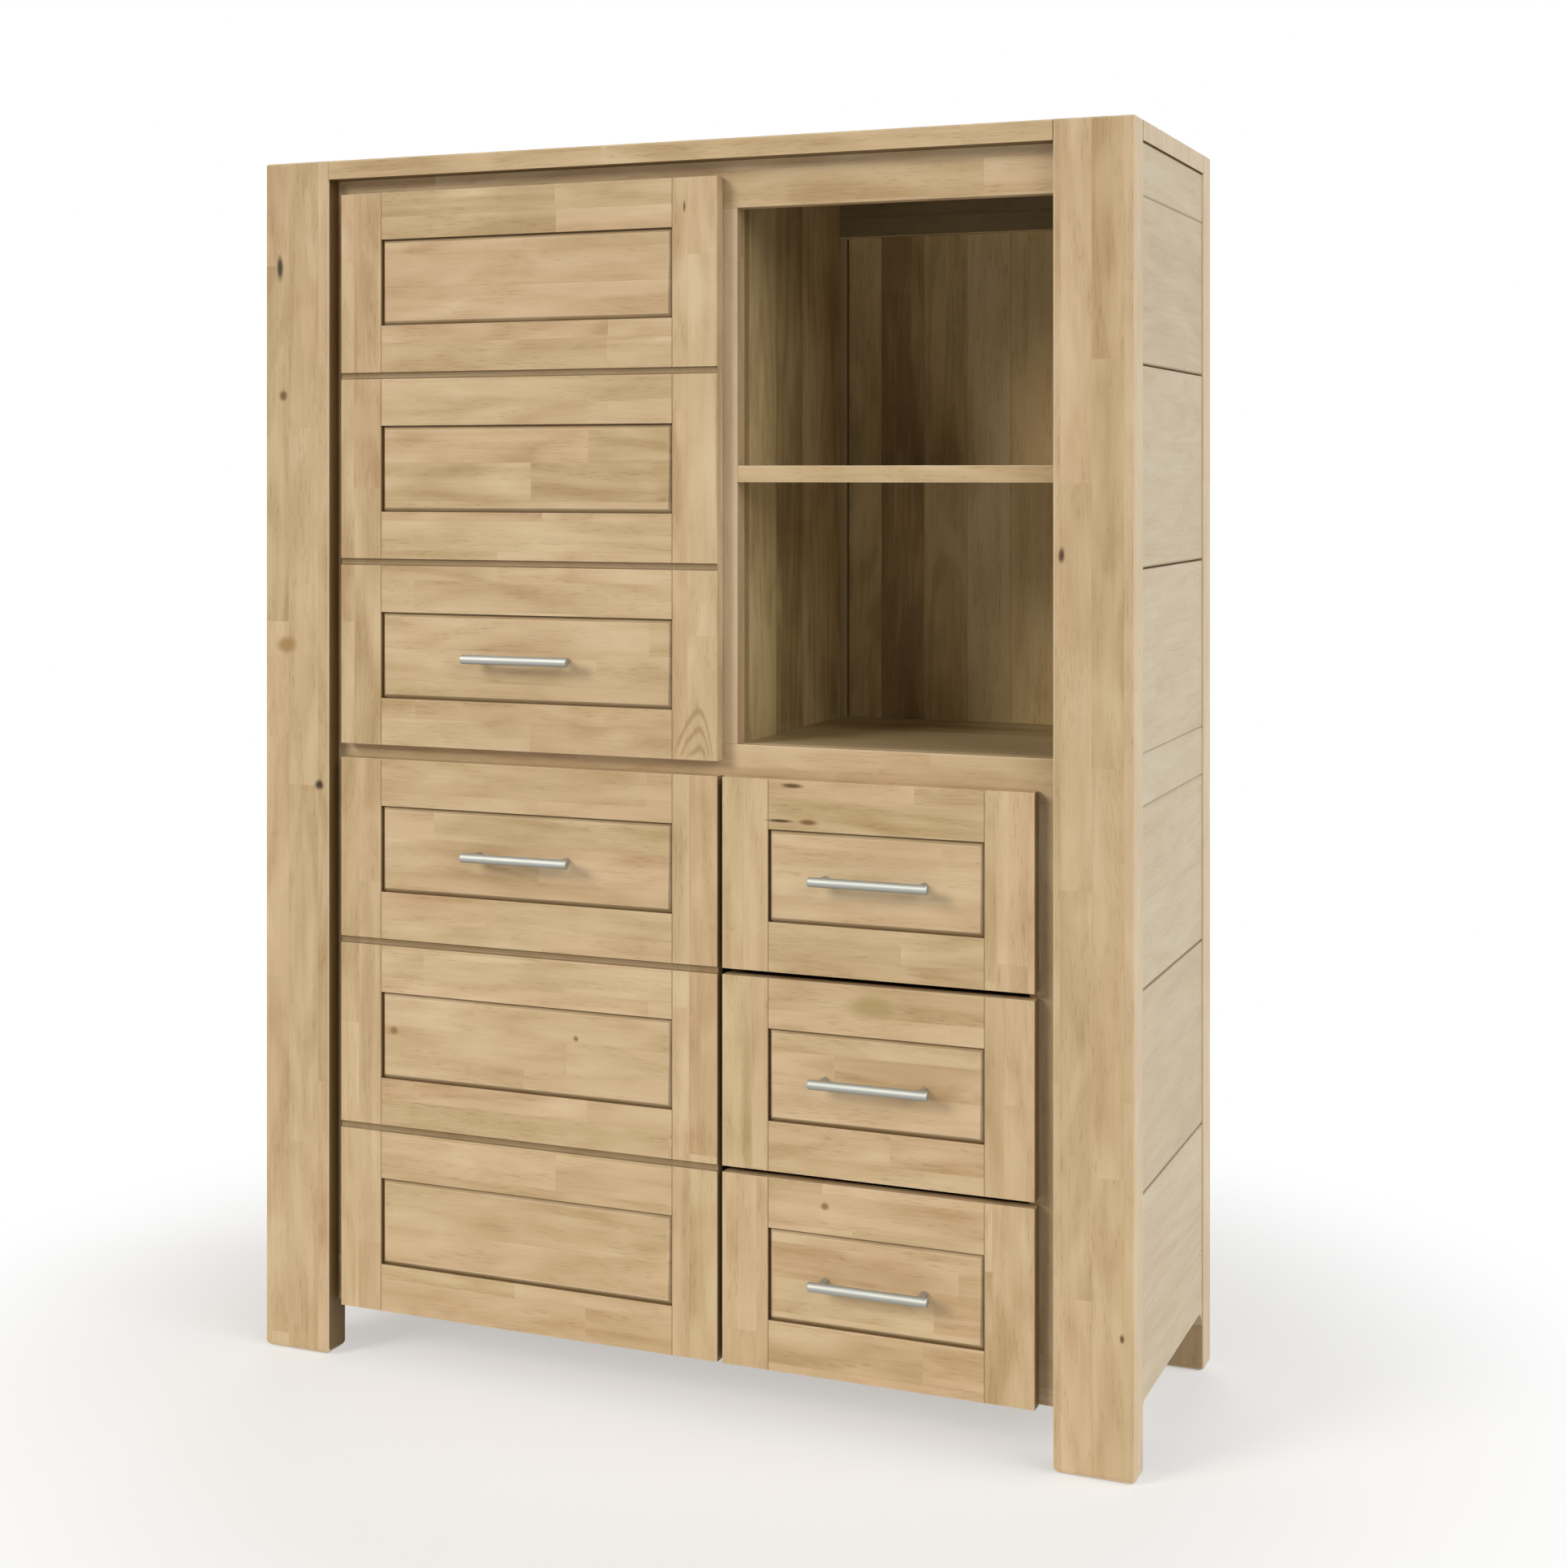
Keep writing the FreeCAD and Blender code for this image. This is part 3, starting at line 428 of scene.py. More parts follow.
# %% Tones and weights of the five woods
# in each wood, arris is the pale tone of wear and of painted highlights on edges, and the dark tone after it
# is that of oil in pores and joints and of painted shade
FRONT_TONES = dict(deep="#ab8e64", middle="#c8af8a", pale="#dbc7a4", arris="#dfceb0", soaked_and_shaded="#5c4319",
                   rosy="#d1ae8e", olive="#c0af84")
SIDE_TONES = dict(deep="#b19c7a", middle="#c7b595", pale="#d6c9b0", arris="#dfd3bb", soaked_and_shaded="#6d5738",
                  rosy="#cfb9a0", olive="#c6ba98")
INNER_TONES = dict(deep="#87724a", middle="#d6c193", pale="#e6d6b0", arris="#d5c39c", soaked_and_shaded="#55442a",
                   rosy="#c0a17c", olive="#b3a26f")
BACK_TONES = dict(deep="#7d663c", middle="#d2ba88", pale="#e6d4aa", arris="#d0bb92", soaked_and_shaded="#4f3d24",
                  rosy="#b8966e", olive="#aa9862")
PALE_TONES = dict(deep="#bd9f70", middle="#d1b88c", pale="#e1cda8", arris="#e3d2b0", soaked_and_shaded="#8a6d45",
                  rosy="#d8b994", olive="#ccba88")

finishes = {
    # oiled oak of the fronts: a warm tan, lively from stave to stave, with a low satin sheen
    "oak": oak_finish("oiled_oak", FRONT_TONES, (44, 480), dict(
        stave=0.26, board=0.16, rings=0.16, pores=0.42, clouds=1.45, bands=0.72,
        glue=0.12, hue=0.24, flecks=0.22), FRONT_KNOTS, FRONT_ARCH),
    # oiled oak planks of the sides: calmer, because each plank is one wide board, and paler and greyer as
    # painted light, for the cooler, brighter light that falls on the side
    "side_oak": oak_finish("oiled_oak_planks", SIDE_TONES, (110, 900), dict(
        stave=0.18, board=0.18, rings=0.12, pores=0.30, clouds=0.70, bands=0.45,
        glue=0.08, hue=0.25, flecks=0.16)),
    # oak inside: full-length staves that differ plainly between pale and brown
    "inner_oak": oak_finish("oak_inside", INNER_TONES, (100, 9000), dict(
        stave=1.20, board=0.08, rings=0.10, pores=0.40, clouds=0.75, bands=0.35,
        glue=0.25, hue=0.25, flecks=0.30)),
    # oak-faced back boards: narrower upright staves, the darkest wood of the cabinet
    "back_board": oak_finish("oak_faced_back", BACK_TONES, (62, 9000), dict(
        stave=1.30, board=0.08, rings=0.10, pores=0.45, clouds=0.75, bands=0.40,
        glue=0.25, hue=0.25, flecks=0.30)),
    # smooth pale hardwood of drawer boxes and runners: hardly any figure
    "drawer_wood": oak_finish("smooth_pale_hardwood", PALE_TONES, (60, 700), dict(
        stave=0.18, board=0.14, rings=0.08, pores=0.20, clouds=0.30, bands=0.20,
        glue=0.10, hue=0.20, flecks=0.12)),
}
print("wood finishes:", ", ".join(material.name for material in finishes.values()))

# %% [markdown]
# ## Boards with eased edges
# A cabinet maker breaks every arris before the oil goes on. The imported solids have sharp edges and loose
# triangles, so each node is copied, its doubles are merged, boards that touch are parted and flat faces are
# joined again. Then the long edges get a small bevel, and the outer edges of doors and drawer fronts a
# larger one, because a hand meets those. Bevelling the copy in bmesh, and not with a modifier, tells which
# faces are new, and those take a tone: paler on an arris, for wear and as a painted highlight, and darker
# at a joint.

# %% A clean copy of a node, board by board
SAME_POINT = 0.005 * MM  # points that are nearer than this are one
SAME_FLAT = math.radians(0.4)  # faces that turn by less than this are one


def flood(items, reach):
    """Parts items into groups, in which a step from one to the next leads everywhere."""
    waiting = dict.fromkeys(items)
    groups = []
    while waiting:
        group = [next(iter(waiting))]
        del waiting[group[0]]
        for item in group:
            for other in reach(item):
                if other in waiting:
                    del waiting[other]
                    group.append(other)
        groups.append(group)
    return groups


def same_board(face):
    """Neighbours of a face. An edge with more than two faces is where two boards touch."""
    return [other for link in face.edges if len(link.link_faces) == 2 for other in link.link_faces]


def clean_copy(source):
    """A CAD node's mesh as whole boards: merged, parted, and with its flat faces in one piece."""
    mesh = bmesh.new()
    mesh.from_mesh(source.data)
    bmesh.ops.remove_doubles(mesh, verts=mesh.verts, dist=SAME_POINT)
    mesh.faces.index_update()
    for faces in flood(mesh.faces, same_board):
        faces.sort(key=lambda face: face.index)
        bmesh.ops.split(mesh, geom=faces, use_only_faces=True)
    bmesh.ops.dissolve_limit(mesh, angle_limit=SAME_FLAT, verts=mesh.verts, edges=mesh.edges)
    return mesh


top = frame["nodes"]["top_panel"]
trial = clean_copy(top)
print("the top's", len(top.data.polygons), "triangles become", len(trial.faces), "faces")
trial.free()

# %% Which edges are eased
SHORT_EDGE = 9 * MM  # shorter edges belong to bores and mouldings and stay sharp
SHARP = math.radians(40)  # faces that stand at more than this have an arris between them
NEAR = 0.05 * MM  # two places that are nearer than this are one
STILE_LEAST = 20 * MM  # joints lie at least this far inside a door or drawer front


def sharp_edges(mesh):
    """Long edges between faces that stand at an angle."""
    return [link for link in mesh.edges if link.is_manifold and link.calc_length() > SHORT_EDGE
            and link.calc_face_angle(0) > SHARP]


def on_line(link, axis, level):
    """True for an edge with both its ends at one level of an axis."""
    return all(abs(vertex.co[axis] - level) < NEAR for vertex in link.verts)


def outer_edges(mesh, low, high):
    """Edges of the front face on the outline of the whole door or drawer front."""
    sides = [(axis, limit[axis]) for axis in (0, 2) for limit in (low, high)]
    return [link for link in sharp_edges(mesh)
            if on_line(link, 1, low.y) and any(on_line(link, *side) for side in sides)]


def joint_edges(mesh, low, high):
    """Upright edges of the front face where rails meet stiles."""
    found = [(link, link.verts[0].co.x) for link in sharp_edges(mesh) if on_line(link, 1, low.y)]
    return [link for link, x in found
            if on_line(link, 0, x) and low.x + STILE_LEAST < x < high.x - STILE_LEAST]


print("edges over", round(SHORT_EDGE / MM), "mm are eased")

# %% How much an edge is eased
# each with the bevel's size, its steps and the tone of its new faces: above 0 for wear and a painted
# highlight, below 0 for a dark joint
FRONT_EASE = (2.4 * MM, 3, 1.0)  # outer edges of doors and drawer fronts
JOINT_EASE = (0.45 * MM, 1, -0.9)  # where a rail meets a stile, so that the joint shows as a fine line
CLAD_EASE = (0.9 * MM, 2, -0.4)  # boards of the sides: their edges are joints, and joints keep the oil
BOARD_EASE = (0.9 * MM, 2, 1.0)  # other boards
CLAD = ("side_rails", "side_planks")
AS_BUILT = ("post", "top_panel")  # already rounded in the solids


def ease(mesh, edges, mark, size, steps, tone):
    """Bevels some edges and marks the new faces with a tone."""
    made = bmesh.ops.bevel(mesh, geom=edges, offset=size, segments=steps, profile=0.5, affect="EDGES",
                           clamp_overlap=True)
    for face in made["faces"]:
        face[mark] = tone


def ease_board(mesh, node, mark, outline):
    """Eases fronts at joints and outline, other boards all round, and built-in roundings not at all."""
    if outline:
        ease(mesh, joint_edges(mesh, *outline), mark, *JOINT_EASE)
        ease(mesh, outer_edges(mesh, *outline), mark, *FRONT_EASE)
    elif not any(word in node for word in AS_BUILT):
        ease(mesh, sharp_edges(mesh), mark, *(CLAD_EASE if node.endswith(CLAD) else BOARD_EASE))
    mesh.normal_update()


print("eased by", [round(size / MM, 2) for size, *rest in (FRONT_EASE, BOARD_EASE, JOINT_EASE)], "mm")

# %% [markdown]
# ### Tone of each face
# Oil makes a joint dark and end grain a little darker. Every face gets a tone in the attribute edge, and
# many of those tones are painted light and shade: grooves, the inner sides of frames, panels' quirks and the
# fronts' sides in narrow gaps are darkened as painted shade, and single faces that stand out on the real
# cabinet get painted light or shade from a table of their own.

# %% Single faces with painted light and shade
# painted light and shade on single faces. Darkened as painted shade: the back top rails' fronts, the right
# mid board's top, the corner strips' and the centre stile's right sides, the top's underside, the front
# posts' inner sides and fronts, and the rear posts' fronts. Paler as painted light: the posts' outer sides,
# the top's ends, and the fronts of the centre stile and the corner strips.
PAINTED_FACE_LIGHT_AND_SHADE = {
    "back_top_rails": {"-Y": -0.9},
    "mid_board_right": {"+Z": -0.6},
    "corner_strips": {"+X": -1.0, "-Y": 0.7},
    "frame_centre_stile": {"-Y": 0.9, "+X": -0.2},
    "top_panel": {"-Z": -1.0, "-X": 1.0, "+X": 1.0},
    "front_left_post": {"+X": -1.1, "-X": 0.8, "-Y": -0.03},
    "front_right_post": {"-X": -1.1, "+X": 0.8, "-Y": -0.07},
    "rear_left_post": {"-X": 0.8, "-Y": -0.35},
    "rear_right_post": {"+X": 0.8, "-Y": -0.35},
}
STRAIGHT = 0.9  # least part of a face's normal along the axis that it looks along


def side_of(face):
    """The direction that a face looks in, such as +X, or nothing where it slants."""
    for axis, letter in enumerate("XYZ"):
        if abs(face.normal[axis]) > STRAIGHT:
            return ("+" if face.normal[axis] > 0 else "-") + letter
    return ""


print("single faces with a tone:", sum(map(len, PAINTED_FACE_LIGHT_AND_SHADE.values())), "on", len(PAINTED_FACE_LIGHT_AND_SHADE), "nodes")

# %% Faces of panels, fronts and other boards
PANELS = ("front_panel", "door_panels")
# a panel's quirk, the grooves of a front and the inner sides of its frame are darkened as painted shade
PANEL_FACE, PANEL_BEVEL, PANEL_QUIRK_SHADE = 0.0, -0.12, -1.0
GROOVE_SIDE_SHADE, GROOVE_FLOOR_SHADE, FRAME_INSIDE_SHADE = -0.9, -0.75, -1.0
UPPER_SIDE, LOWER_SIDE_SHADE = 0.05, -0.85  # upright outer sides of the upper door, and of other fronts, which sit in narrow gaps and are darkened as painted shade
END_GRAIN = -0.12
POST_WEAR_AND_HIGHLIGHT, BOARD_WEAR_AND_HIGHLIGHT = 1.3, 0.7  # roundings that the solids have already, paler for wear and as a painted highlight
FLAT, ASIDE = 0.98, 0.2  # a front's face looks ahead, slants, or looks aside
BACK, SLANT = 0.5, -0.3  # and a panel's looks back, or slants
END_ON, ROUNDED = 0.8, 0.97  # a face cuts the fibres, or belongs to a rounding
PANEL_SKIN = 0.5 * MM  # how far a panel's field may lie behind its foremost point
GROOVE_DEEP = (1 * MM, 5 * MM)  # how far a groove's floor lies behind the face
ON_OUTLINE = 0.1 * MM


def panel_tone(face, low):
    """Tone of a raised panel's face: its field, the bevel round it, and the quirk beside its frame, darkened
    as painted shade.
    """
    ahead = face.normal.y
    if ahead > BACK or face.calc_center_median().y - low[1] < PANEL_SKIN:
        return PANEL_FACE
    return PANEL_BEVEL if -STRAIGHT < ahead < SLANT else PANEL_QUIRK_SHADE


def front_tone(face, node, outline):
    """Tone of a face in a door's or drawer front's frame, with painted shade in its grooves, on its inner
    sides and on upright sides in narrow gaps, or nothing where it is plain.
    """
    ahead = face.normal.y
    middle = face.calc_center_median()
    axis = 0 if abs(face.normal.x) > abs(face.normal.z) else 2
    if -FLAT < ahead < -ASIDE:
        return GROOVE_SIDE_SHADE
    if ahead < -FLAT and GROOVE_DEEP[0] < middle.y - outline[0].y < GROOVE_DEEP[1]:
        return GROOVE_FLOOR_SHADE
    if abs(ahead) < ASIDE and min(abs(middle[axis] - limit[axis]) for limit in outline) >= ON_OUTLINE:
        return FRAME_INSIDE_SHADE
    if abs(face.normal.x) > STRAIGHT:
        return UPPER_SIDE if node.startswith("upper") else LOWER_SIDE_SHADE
    return None


def face_tone(face, node, low, fibres, outline):
    """Tone of any face that was not eased."""
    if node.endswith(PANELS):
        return panel_tone(face, low)
    tone = front_tone(face, node, outline) if outline else PAINTED_FACE_LIGHT_AND_SHADE.get(node, {}).get(side_of(face))
    if tone is not None:
        return tone
    if abs(face.normal[fibres]) > END_ON:
        return END_GRAIN
    if max(abs(part) for part in face.normal) < ROUNDED:
        return POST_WEAR_AND_HIGHLIGHT if node.endswith("post") else BOARD_WEAR_AND_HIGHLIGHT
    return 0.0


print("tones of a panel:", PANEL_FACE, PANEL_BEVEL, PANEL_QUIRK_SHADE)

# %% [markdown]
# ### Grain of each board
# The fibres of a board run along its longest side, apart from the back boards, whose staves stand upright.
# Each board starts at a random place of the log, and the node's own name seeds the chance, so every run is
# the same.

# %% Grain and tone, board by board
UPRIGHT_FIBRES = ("upper_back_panel", "lower_back_panel")
LOG_METRES = 9


def islands(mesh):
    """The separate boards of a bmesh, as lists of vertices, in the order of their middles."""
    def middle(group):
        sums = [math.fsum(vertex.co[axis] for vertex in group) for axis in range(3)]
        return [round(total / len(group), 4) for total in sums]

    groups = flood(mesh.verts, lambda vertex: [link.other_vert(vertex) for link in vertex.link_edges])
    return sorted(groups, key=middle)


def lay_grain(mesh, node, mark, outline):
    """Gives every board its grain and number, and every face that was not eased its tone."""
    chance = random.Random(zlib.crc32(node.encode()))
    grain = mesh.verts.layers.float_vector.new("grain")
    board = mesh.verts.layers.float.new("board")
    for group in islands(mesh):
        low = [min(vertex.co[axis] for vertex in group) for axis in range(3)]
        high = [max(vertex.co[axis] for vertex in group) for axis in range(3)]
        axes = sorted(range(3), key=lambda axis: low[axis] - high[axis])
        if node in UPRIGHT_FIBRES:
            axes.sort(key=lambda axis: axis != 2)
        start = Vector([chance.uniform(0, LOG_METRES) for axis in axes])
        number = chance.random()
        for vertex in group:
            vertex[grain] = start + Vector([vertex.co[axis] for axis in axes])
            vertex[board] = number
        for face in {face for vertex in group for face in vertex.link_faces}:
            if not face[mark]:
                face[mark] = face_tone(face, node, low, axes[0], outline)


print("fibres stand upright in", ", ".join(UPRIGHT_FIBRES))

# %% [markdown]
# ### Every wooden node
# A dressed board is a plain mesh that rides on its node's body and stands for the node. Weighted normals
# keep its large faces flat beside the small bevels: otherwise smooth shading would bend the light across a
# whole board.

# %% One dressed node
SMOOTH_UNDER = math.radians(38)  # bevels turn by less than this from step to step
FLAT_WEIGHT = 100  # large faces alone decide the normals


def settle(piece):
    """Makes what a piece's modifiers do its own plain mesh, with the piece's name."""
    made = bpy.data.meshes.new_from_object(piece.evaluated_get(bpy.context.evaluated_depsgraph_get()))
    piece.modifiers.clear()
    piece.data = made
    made.name = piece.name
    return made


def wooden_piece(name, mesh, finish):
    """A plain object from a bmesh, smooth over its bevels and flat on its faces."""
    made = bpy.data.meshes.new(name)
    mesh.to_mesh(made)
    mesh.free()
    made.materials.append(finish)
    piece = show(name, made)
    made.shade_smooth()
    made.set_sharp_from_angle(angle=SMOOTH_UNDER)
    flat = piece.modifiers.new("flat faces stay flat", "WEIGHTED_NORMAL")
    flat.keep_sharp = True
    flat.mode = "FACE_AREA"
    flat.weight = FLAT_WEIGHT
    settle(piece)
    bpy.data.meshes.remove(made)
    return piece


def dress(node, slot, outline):
    """A copy of a CAD node with eased edges and its wood's attributes, on the node's own body."""
    source = frame["nodes"][node]
    mesh = clean_copy(source)
    mark = mesh.faces.layers.float.new("edge")
    ease_board(mesh, node, mark, outline)
    lay_grain(mesh, node, mark, outline)
    piece = wooden_piece(node + "_wood", mesh, finishes[slot])
    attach(piece, source["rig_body"])
    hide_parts(node)
    return piece


print("smooth under", round(math.degrees(SMOOTH_UNDER)), "degrees")

# %% Dress every wooden node
FRONTS = ("door_left_stile", "door_right_stile", "door_rails", "front_frame")
outlines = {}
for node in frame["nodes"]:
    if node.endswith(FRONTS):
        owner = frame["nodes"][node]["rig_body"]
        low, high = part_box(node)
        before = outlines.get(owner, (low, high))
        outlines[owner] = (Vector(map(min, before[0], low)), Vector(map(max, before[1], high)))

slots = {row["node"]: row["material_slot"] for row in frame["record"]["subparts"]}
pieces = []
for node in sorted(node for node, slot in slots.items() if slot in finishes):
    owner = frame["nodes"][node]["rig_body"]
    pieces.append(dress(node, slots[node], outlines[owner] if node.endswith(FRONTS) else None))
print(len(pieces), "wooden pieces,", sum(len(piece.data.polygons) for piece in pieces), "faces")

# %% [markdown]
# ## Satin steel handles
# The handles are round stainless bars, ground along their length, on two legs. The grinding leaves fine
# lines along the bar, which draw each reflection out into a soft band. Five equal handles follow one rule,
# so one Geometry Nodes tree makes them: a straight curve swept with a circle, slightly thinner at its ends
# as a chamfer, and two legs set on a line of two points.

# %% Satin stainless steel
# ground and not polished: a dull silver band along the bar, without a mirror's sharp edges
GRIND_ENDS = 1 / (40 * MM)  # grinding lines are about 40 mm long
GRIND_LINES = 0.9 / (0.5 * MM)  # and far under 0.1 mm wide, drawn 0.5 mm wide so that they show
STEEL_ROUGH = (0.50, 0.62)
SCRATCH, SCRATCH_DEEP = 0.08, 0.05 * MM
steel, tree, shader = empty_material("satin_stainless_steel", {
    "Base Color": linear("#acaea9"), "Metallic": 1.0})
place = add(tree, "ShaderNodeTexCoord").outputs["Object"]
lines = add(tree, VECTOR, [place, (GRIND_ENDS, GRIND_LINES, GRIND_LINES)], operation="MULTIPLY")
brushed = add(tree, "ShaderNodeTexNoise", {"Vector": lines, "Scale": 1.0, "Detail": 2.0})
vary_gloss(tree, shader, brushed, STEEL_ROUGH)
scratch = add(tree, "ShaderNodeBump", {"Strength": SCRATCH, "Distance": SCRATCH_DEEP, "Height": brushed})
tree.links.new(scratch.outputs[0], shader.inputs["Normal"])
print("metal finish:", steel.name)


# %% Trees and what grows from them
def new_tree(name, inputs):
    """A Geometry Nodes tree with named inputs, and the sockets that they come in by."""
    tree = bpy.data.node_groups.new(name, "GeometryNodeTree")
    tree.interface.new_socket("Geometry", in_out="OUTPUT", socket_type="NodeSocketGeometry")
    for label, kind in inputs.items():
        tree.interface.new_socket(label, in_out="INPUT", socket_type="NodeSocket" + kind)
    return tree, add(tree, "NodeGroupInput").outputs


def end_tree(tree, shape, given):
    """Ends a tree as an export needs it: real geometry with its material."""
    real = add(tree, "GeometryNodeRealizeInstances", {"Geometry": shape})
    done = add(tree, "GeometryNodeSetMaterial", {"Geometry": real, "Material": given["Material"]})
    add(tree, "NodeGroupOutput", {"Geometry": done})
    print(tree.name, "has", len(tree.nodes), "nodes")


def grow(name, blank, tree, values, smooth_degrees):
    """Runs a tree on a blank mesh and keeps what it makes, smooth with sharp arrises."""
    piece = show(name, blank)
    modifier = piece.modifiers.new(tree.name, "NODES")
    modifier.node_group = tree
    for item in tree.interface.items_tree:
        if item.in_out == "INPUT" and item.name in values:
            modifier[item.identifier] = values[item.name]
    made = settle(piece)
    made.shade_smooth()
    made.set_sharp_from_angle(angle=math.radians(smooth_degrees))
    print(name, "has", len(made.polygons), "faces")
    return piece


print("a tree ends with real geometry and its material")

# %% A tree that makes a bar handle
BAR_POINTS, BAR_SIDES, LEG_SIDES = 128, 40, 32
TIP = 0.84  # radius of a bar's last point, which makes the chamfer
bars, given = new_tree("bar_handle", {
    "Middle": "Vector", "Length": "Float", "Radius": "Float", "Leg spacing": "Float", "Leg radius": "Float",
    "Leg length": "Float", "Material": "Material"})
half = add(bars, MATH, [given["Length"], 0.5], operation="MULTIPLY")
minus = add(bars, MATH, [half, -1.0], operation="MULTIPLY")
start = add(bars, "ShaderNodeCombineXYZ", [minus])
end = add(bars, "ShaderNodeCombineXYZ", [half])
line = add(bars, "GeometryNodeCurvePrimitiveLine", {"Start": start, "End": end})
points = add(bars, "GeometryNodeResampleCurve", {"Curve": line, "Count": BAR_POINTS})
even = add(bars, "GeometryNodeSetCurveRadius", {"Curve": points, "Radius": 1.0})
tips = add(bars, "GeometryNodeCurveEndpointSelection")
shaped = add(bars, "GeometryNodeSetCurveRadius", {"Curve": even, "Selection": tips, "Radius": TIP})
thick = add(bars, "GeometryNodeInputRadius")
ring = add(bars, "GeometryNodeCurvePrimitiveCircle", {
    "Resolution": BAR_SIDES, "Radius": given["Radius"]})
bar = add(bars, "GeometryNodeCurveToMesh", {
    "Curve": shaped, "Profile Curve": ring, "Scale": thick, "Fill Caps": True})
print("one tree for", sum(node.endswith("_handle") for node in frame["nodes"]), "handles")

# %% Legs, place and finish of a handle
side = add(bars, MATH, [given["Leg spacing"], -0.5], operation="MULTIPLY")
deep = add(bars, MATH, [given["Leg length"], 0.5], operation="MULTIPLY")
first = add(bars, "ShaderNodeCombineXYZ", [side, deep])
gap = add(bars, "ShaderNodeCombineXYZ", [given["Leg spacing"]])
feet = add(bars, "GeometryNodeMeshLine", {"Count": 2, "Start Location": first, "Offset": gap})
leg = add(bars, "GeometryNodeMeshCylinder", {
    "Vertices": LEG_SIDES, "Radius": given["Leg radius"], "Depth": given["Leg length"]})
legs = add(bars, "GeometryNodeInstanceOnPoints", {
    "Points": feet, "Instance": leg, "Rotation": (math.radians(90), 0.0, 0.0)})
whole = add(bars, "GeometryNodeJoinGeometry")
for part in (bar, legs):
    bars.links.new(part.outputs[0], whole.inputs["Geometry"])
moved = add(bars, "GeometryNodeTransform", {"Geometry": whole, "Translation": given["Middle"]})
end_tree(bars, moved, given)

# %% The five handles
HANDLE = {"Length": 154 * MM, "Radius": 6 * MM, "Leg spacing": 128 * MM, "Leg radius": 4.5 * MM,
          "Leg length": 26 * MM, "Material": steel}
BAR_SMOOTH = 35  # degrees, over which an arris of the bar stays sharp
for node in sorted(node for node in frame["nodes"] if node.endswith("_handle")):
    low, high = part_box(node)
    middle = ((low.x + high.x) / 2, low.y + HANDLE["Radius"], (low.z + high.z) / 2)
    blank = bpy.data.meshes.new(node + "_blank")
    piece = grow(node + "_bar", blank, bars, {**HANDLE, "Middle": middle}, BAR_SMOOTH)
    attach(piece, frame["nodes"][node]["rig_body"])
    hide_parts(node)

# %% [markdown]
# ## Plated hinges
# The concealed hinges are pressed steel with a bright nickel plating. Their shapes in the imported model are
# right, so the nodes stay and only take a finish. A plating is never quite even, and a soft noise in the
# roughness shows that.

# %% Nickel-plated steel
# a warm bright grey that mirrors its surroundings, slightly cloudy from place to place
PLATE_CLOUDS = 0.9 / (10 * MM)  # clouds in the plating are about 10 mm wide
PLATE_ROUGH = (0.22, 0.36)
nickel, tree, shader = empty_material("nickel_plated_steel", {
    "Base Color": linear("#c4c1b8"), "Metallic": 1.0})
place = add(tree, "ShaderNodeTexCoord").outputs["Object"]
cloudy = add(tree, "ShaderNodeTexNoise", {"Vector": place, "Scale": PLATE_CLOUDS, "Detail": 3.0})
vary_gloss(tree, shader, cloudy, PLATE_ROUGH)
hinges = [obj for node, obj in frame["nodes"].items() if "hinge" in node]
for obj in hinges:
    obj.data.materials.clear()
    obj.data.materials.append(nickel)
print("metal finish:", nickel.name, "on", len(hinges), "nodes")

# %% [markdown]
# ## Screws
# Cross-head screws hold the back boards, the hinge cups and the hinge arms. They show from behind and with
# a door open. One small head of radius 1 is modelled, and a second tree sets it on points that carry the
# direction they face, so that a whole row of screws is one piece on one body.

# %% One cross-head screw head
HEAD_SIDES = 24
CROWN_WIDE, CROWN_HIGH = 0.82, 0.22  # all in radii of the head
ARM_REACH, CORNER_REACH = 0.52, 0.17  # of the cross, from its middle
ARM_WIDE = 0.35  # sine of twice the turn, up to which a point belongs to an arm
CROSS_FLOOR, CROSS_TAPER = -0.1, 0.72  # the cross narrows towards its floor
CROSS_INSET = 0.30  # how far the crown's flat ring reaches in
head = bmesh.new()
turns = [2 * math.pi * step / HEAD_SIDES for step in range(HEAD_SIDES)]
rim = [head.verts.new((math.cos(turn), math.sin(turn), 0.0)) for turn in turns]
crown = [head.verts.new((CROWN_WIDE * vertex.co.x, CROWN_WIDE * vertex.co.y, CROWN_HIGH)) for vertex in rim]
for step in range(HEAD_SIDES):
    after = (step + 1) % HEAD_SIDES
    head.faces.new((rim[step], rim[after], crown[after], crown[step]))
cap = head.faces.new(crown)
head.faces.new(list(reversed(rim)))
bmesh.ops.inset_individual(head, faces=[cap], thickness=CROSS_INSET, depth=0.0)
for vertex in cap.verts:
    turn = math.atan2(vertex.co.y, vertex.co.x)
    reach = ARM_REACH if abs(math.sin(2 * turn)) < ARM_WIDE else CORNER_REACH
    vertex.co.x = reach * math.cos(turn)
    vertex.co.y = reach * math.sin(turn)
sunk = bmesh.ops.extrude_discrete_faces(head, faces=[cap])["faces"][0]
for vertex in sunk.verts:
    vertex.co = (CROSS_TAPER * vertex.co.x, CROSS_TAPER * vertex.co.y, CROSS_FLOOR)
bmesh.ops.recalc_face_normals(head, faces=head.faces)
screw_head = bpy.data.objects.new("screw_head", bpy.data.meshes.new("screw_head"))
head.to_mesh(screw_head.data)
head.free()
print("a screw head has", len(screw_head.data.polygons), "faces")

